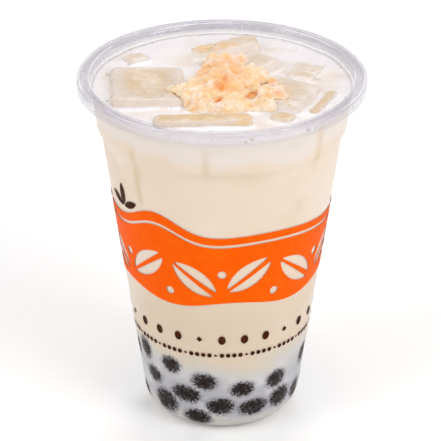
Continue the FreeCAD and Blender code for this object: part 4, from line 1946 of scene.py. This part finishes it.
@dataclass
class Crumble:
    """The crumbled topping: soft lumps with a grainy surface, with loose grains on and round them."""

    finish: bpy.types.Material
    top: float
    clear: float = 0.02
    voxel: float = 0.42
    shrink: float = 0.9
    stand_out: float = 0.5
    give: float = 0.3
    crevice_times: int = 30
    crevice_depth: float = 0.55
    coarse: float = 0.45
    fine: float = 0.2
    pit: float = 1.5
    lumps: CrumbLayer = CrumbLayer("lumps", 60000.0, (1.7, 1.5, 1.2), (3.4, 2.8, 2.1), 0.8, 1.3, 3)
    grains: CrumbLayer = CrumbLayer(
        "crumble_grains", 60000.0, (0.3, 0.26, 0.22), (0.7, 0.6, 0.5), 0.25, 0.3, 2
    )
    tree: BVHTree | None = field(default=None, init=False)
    heap: bpy.types.Mesh | None = field(default=None, init=False)
    hollows: tuple[Hollow, ...] = (
        Hollow(-1.2, -18.2, 2.0, 1.0),
        Hollow(9.6, -14.6, 2.4, 0.95),
        Hollow(-4.6, -1.0, 3.2, 0.85),
        Hollow(3.4, -0.6, 4.0, 0.85),
        Hollow(0.6, -7.5, 3.6, 0.85),
        Hollow(18.0, -15.0, 2.8, 0.6),
        Hollow(-3.6, 5.0, 5.6, 0.75),
        Hollow(2.5, 8.5, 5.6, 0.7),
        Hollow(-9.0, -20.0, 3.0, 0.3),
    )
    strays: tuple[Stray, ...] = (
        Stray(-2.0, 28.5, 7.5, 2.2, 14),
        Stray(7.5, -29.8, 3.4, 1.6, 5),
        Stray(-4.0, -25.0, 9.0, 2.0, 8),
        Stray(20.0, -19.0, 5.0, 3.0, 8),
        Stray(0.0, 0.0, 22.0, 22.0, 18),
    )

    def orange_at(self, points: np.ndarray) -> np.ndarray:
        """How deep orange the topping is at each point."""
        deep = np.zeros(len(points))
        for hollow in self.hollows:
            away = np.hypot(points[:, 0] - hollow.x, points[:, 1] - hollow.y) / hollow.reach
            deep = np.maximum(deep, hollow.strength * np.exp(-(away**2)))
        return deep

    def dress(self, mesh: bpy.types.Mesh, crevice_shade: np.ndarray | float = 0.0) -> bpy.types.Mesh:
        """Hold the mesh under the top, and keep on it how deep orange and how toned each point is.

        Args:
            mesh: Lumps or grains.
            crevice_shade: How deep each point lies between its neighbours, from 0 to 1.

        Returns:
            The same mesh.
        """
        points = points_of(mesh)
        points[:, 2] = np.minimum(points[:, 2], self.top - self.clear)
        move_points(mesh, points)
        flecks = 0.2 * np.clip(wobble(points, 2.6, 4.4, 2) * 1.4, 0, 1)
        orange = self.orange_at(points)
        # Orange flecks, the listed hollows, and painted shade that deepens the colour in the crevices.
        deep = flecks * 0.7 + orange * (0.55 + 0.45 * crevice_shade) + 0.35 * crevice_shade * (1 - orange)
        keep_values(mesh, "depth", np.clip(deep, 0, 1))
        if "tone" not in mesh.attributes:
            inner = np.exp(-((points[:, 0] - 2) ** 2 + (points[:, 1] + 5) ** 2) / 18**2)
            keep_values(mesh, "tone", np.clip(0.75 * inner + 0.8 * wobble(points, 3.4, 9.9), 0, 1))
        return mesh

    def strewn(self, ground: list[BVHTree]) -> bpy.types.Mesh:
        """Points where loose crumbs lie on the ice and the milk.

        Args:
            ground: The surfaces that they may lie on.

        Returns:
            A mesh of the points only.
        """
        draw = np.random.default_rng(SEED + 5)
        found = []
        for stray in self.strays:
            for _ in range(stray.count):
                x, y = draw.normal((stray.x, stray.y), (stray.long / 2, stray.wide / 2))
                start = Vector((x, y, self.top + 5))
                hits = [tree.ray_cast(start, Vector((0, 0, -1)), 12.0)[0] for tree in ground]
                found += [max((h for h in hits if h), key=lambda h: h.z)] if any(hits) else []
        return new_mesh("strewn_points", np.array(found), [])

    def held_in(self, points: np.ndarray, outline: BVHTree) -> np.ndarray:
        """Points with those that stand far out of the heap's outline drawn back to it.

        Args:
            points: The lumps' points.
            outline: The heap's own solid.

        Returns:
            The points.
        """
        held = points.copy()
        for i, point in enumerate(points.tolist()):
            place, normal, _, away = outline.find_nearest(Vector(point))
            if away > self.stand_out and (Vector(point) - place).dot(normal) > 0:
                reach = self.stand_out + self.give * (away - self.stand_out)
                held[i] = place + (Vector(point) - place) * (reach / away)
        return held

    def build(self) -> None:
        """Make the lumps as one soft mass, with painted orange shade in its crevices."""
        outline = search_tree(copy_of("crumble"))
        core = remeshed([copy_of("crumble")], 2 * self.voxel)
        points, normals = points_of(core), normals_of(core)
        normals[:, 2] = np.clip(normals[:, 2], 0, None)
        move_points(core, points - normals * self.shrink)
        heap = softened(remeshed([core, self.lumps.over(core, self.finish)], self.voxel), 2)
        points, normals = points_of(heap), normals_of(heap)
        coarse = self.coarse * wobble(points, 2.4, 1.9) - 0.1
        fine = self.fine * np.abs(wobble(points, 1.0, 7.7, 2)) - 0.06
        pit = self.pit * self.orange_at(points) ** 3
        moved = self.held_in(points + normals * (coarse + fine - pit)[:, None], outline)
        moved[:, 2] = np.minimum(moved[:, 2], self.top - self.clear)
        move_points(heap, moved)
        smooth = points_of(softened(heap.copy(), self.crevice_times))
        crevice_shade = np.einsum("ij,ij->i", smooth - moved, normals_of(heap)) / self.crevice_depth
        heap.materials.clear()
        heap.materials.append(self.finish)
        piece("crumble_heap", self.dress(heap, np.clip(crevice_shade, 0, 1)), ["crumble"])
        self.heap, self.tree = heap, search_tree(heap)

    def strew(self, ground: list[BVHTree]) -> None:
        """Lay the loose grains on the heap and round it.

        Args:
            ground: The surfaces round the heap.
        """
        piece(self.grains.name, self.dress(self.grains.over(self.heap, self.finish)))
        loose = self.grains.over(self.strewn(ground), self.finish, **{"On Points": True})
        piece("crumble_strays", self.dress(loose))


# ---------------------------------------------------------------- the studio


@dataclass(frozen=True)
class Lamp:
    """A soft lamp: where it hangs in metres, its size and its power."""

    name: str
    place: tuple[float, float, float]
    size: float
    power: float


@dataclass
class Studio:
    """A plain pale floor, soft lamps and the camera."""

    floor: bpy.types.Material
    floor_size: float = 6.0
    ambient: float = 0.6
    elevation: float = 27.63
    distance: float = 0.7485
    lens: float = 180.7
    aim: tuple[float, float, float] = (-0.00047, 0.0, 0.0688)
    lamps: tuple[Lamp, ...] = (
        Lamp("right_softbox", (0.75, -0.62, 0.75), 0.6, 4.9),
        Lamp("left_softbox", (-0.85, -0.45, 0.7), 0.6, 3.0),
        Lamp("back_softbox", (0.1, 0.75, 1.0), 0.5, 3.0),
    )

    def build(self) -> None:
        """Set up the floor, the light and the camera."""
        half = self.floor_size / 2
        corners = np.array([(-half, -half, 0), (half, -half, 0), (half, half, 0), (-half, half, 0)])
        mesh = new_mesh("floor", corners / MM, [[0, 1, 2, 3]], smooth=False)
        mesh.materials.append(self.floor)
        floor = bpy.data.objects.new("floor", mesh)
        bpy.context.scene.collection.objects.link(floor)
        self.light()
        self.look()

    def light(self) -> None:
        """Hang the lamps and light the world evenly, with white behind everything."""
        for lamp in self.lamps:
            data = bpy.data.lights.new(lamp.name, "AREA")
            data.shape, data.size, data.energy = "SQUARE", lamp.size, lamp.power
            made = bpy.data.objects.new(lamp.name, data)
            made.location = lamp.place
            towards = Vector(self.aim) - Vector(lamp.place)
            made.rotation_euler = towards.to_track_quat("-Z", "Y").to_euler()
            bpy.context.scene.collection.objects.link(made)
        world = bpy.data.worlds.new("studio")
        world.use_nodes = True
        world.node_tree.nodes.clear()
        nodes = Nodes(world.node_tree)
        rays = nodes.add("ShaderNodeLightPath").outputs
        seen = nodes.math("MAXIMUM", rays["Is Camera Ray"], rays["Is Transmission Ray"])
        seen = nodes.math("MAXIMUM", seen, rays["Is Glossy Ray"])
        strength = nodes.ramp(seen, 0.0, 1.0, (self.ambient, 1.0))
        sky = nodes.add("ShaderNodeBackground", {"Color": (1.0, 1.0, 1.0, 1.0), "Strength": strength})
        nodes.add("ShaderNodeOutputWorld", {"Surface": sky.outputs[0]})
        bpy.context.scene.world = world

    def look(self) -> None:
        """Place the camera."""
        data = bpy.data.cameras.new("camera")
        data.lens = self.lens
        data.clip_start, data.clip_end = 0.01, 20.0
        camera = bpy.data.objects.new("camera", data)
        rise = math.radians(self.elevation)
        offset = Vector((0, -math.cos(rise), math.sin(rise))) * self.distance
        camera.location = Vector(self.aim) + offset
        camera.rotation_euler = (math.pi / 2 - rise, 0, 0)
        bpy.context.scene.collection.objects.link(camera)
        bpy.context.scene.camera = camera
        bpy.context.scene.view_settings.view_transform = "Standard"


# ---------------------------------------------------------------- all of it


def main() -> None:
    """Build every piece in order."""
    logging.basicConfig(level=logging.INFO, format="%(name)s %(message)s")
    groups = ShaderGroups()
    cup_high, tea_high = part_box("cup")[1] / MM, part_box("milk_tea")[1] / MM
    shape = CupShape(height=cup_high.z, flange_radius=cup_high.x, level=tea_high.z)
    inks = {
        Ink.ORANGE: InkFinish(Ink.ORANGE.value, linear(254, 95, 0), linear(255, 103, 6)),
        Ink.BROWN: InkFinish(Ink.BROWN.value, linear(62, 28, 12), linear(82, 40, 18)),
    }
    cup = Cup(shape, PlasticFinish().material(groups), WaterFinish().material(groups))
    cup.build()
    cup.wet()
    Print(shape, {ink: finish.material(groups) for ink, finish in inks.items()}).build()
    pearls = TapiocaPearls(shape, PearlFinish().material(groups))
    pearls.build()
    names = tuple(sorted(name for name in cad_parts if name.startswith("ice_")))
    ice = Ice(names, IceFinish(shape.level).material(groups), shape.level)
    ice.build()
    crumble = Crumble(CrumbFinish().material(groups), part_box("crumble")[1].z / MM)
    crumble.build()
    milk = MilkTea(
        shape, pearls, ice, crumble.tree, MilkFinish().material(groups), FoamFinish().material(groups)
    )
    milk.build()
    crumble.strew([*ice.trees, milk.tree])
    Studio(FloorFinish().material(groups)).build()


if __name__ == "__main__":
    main()
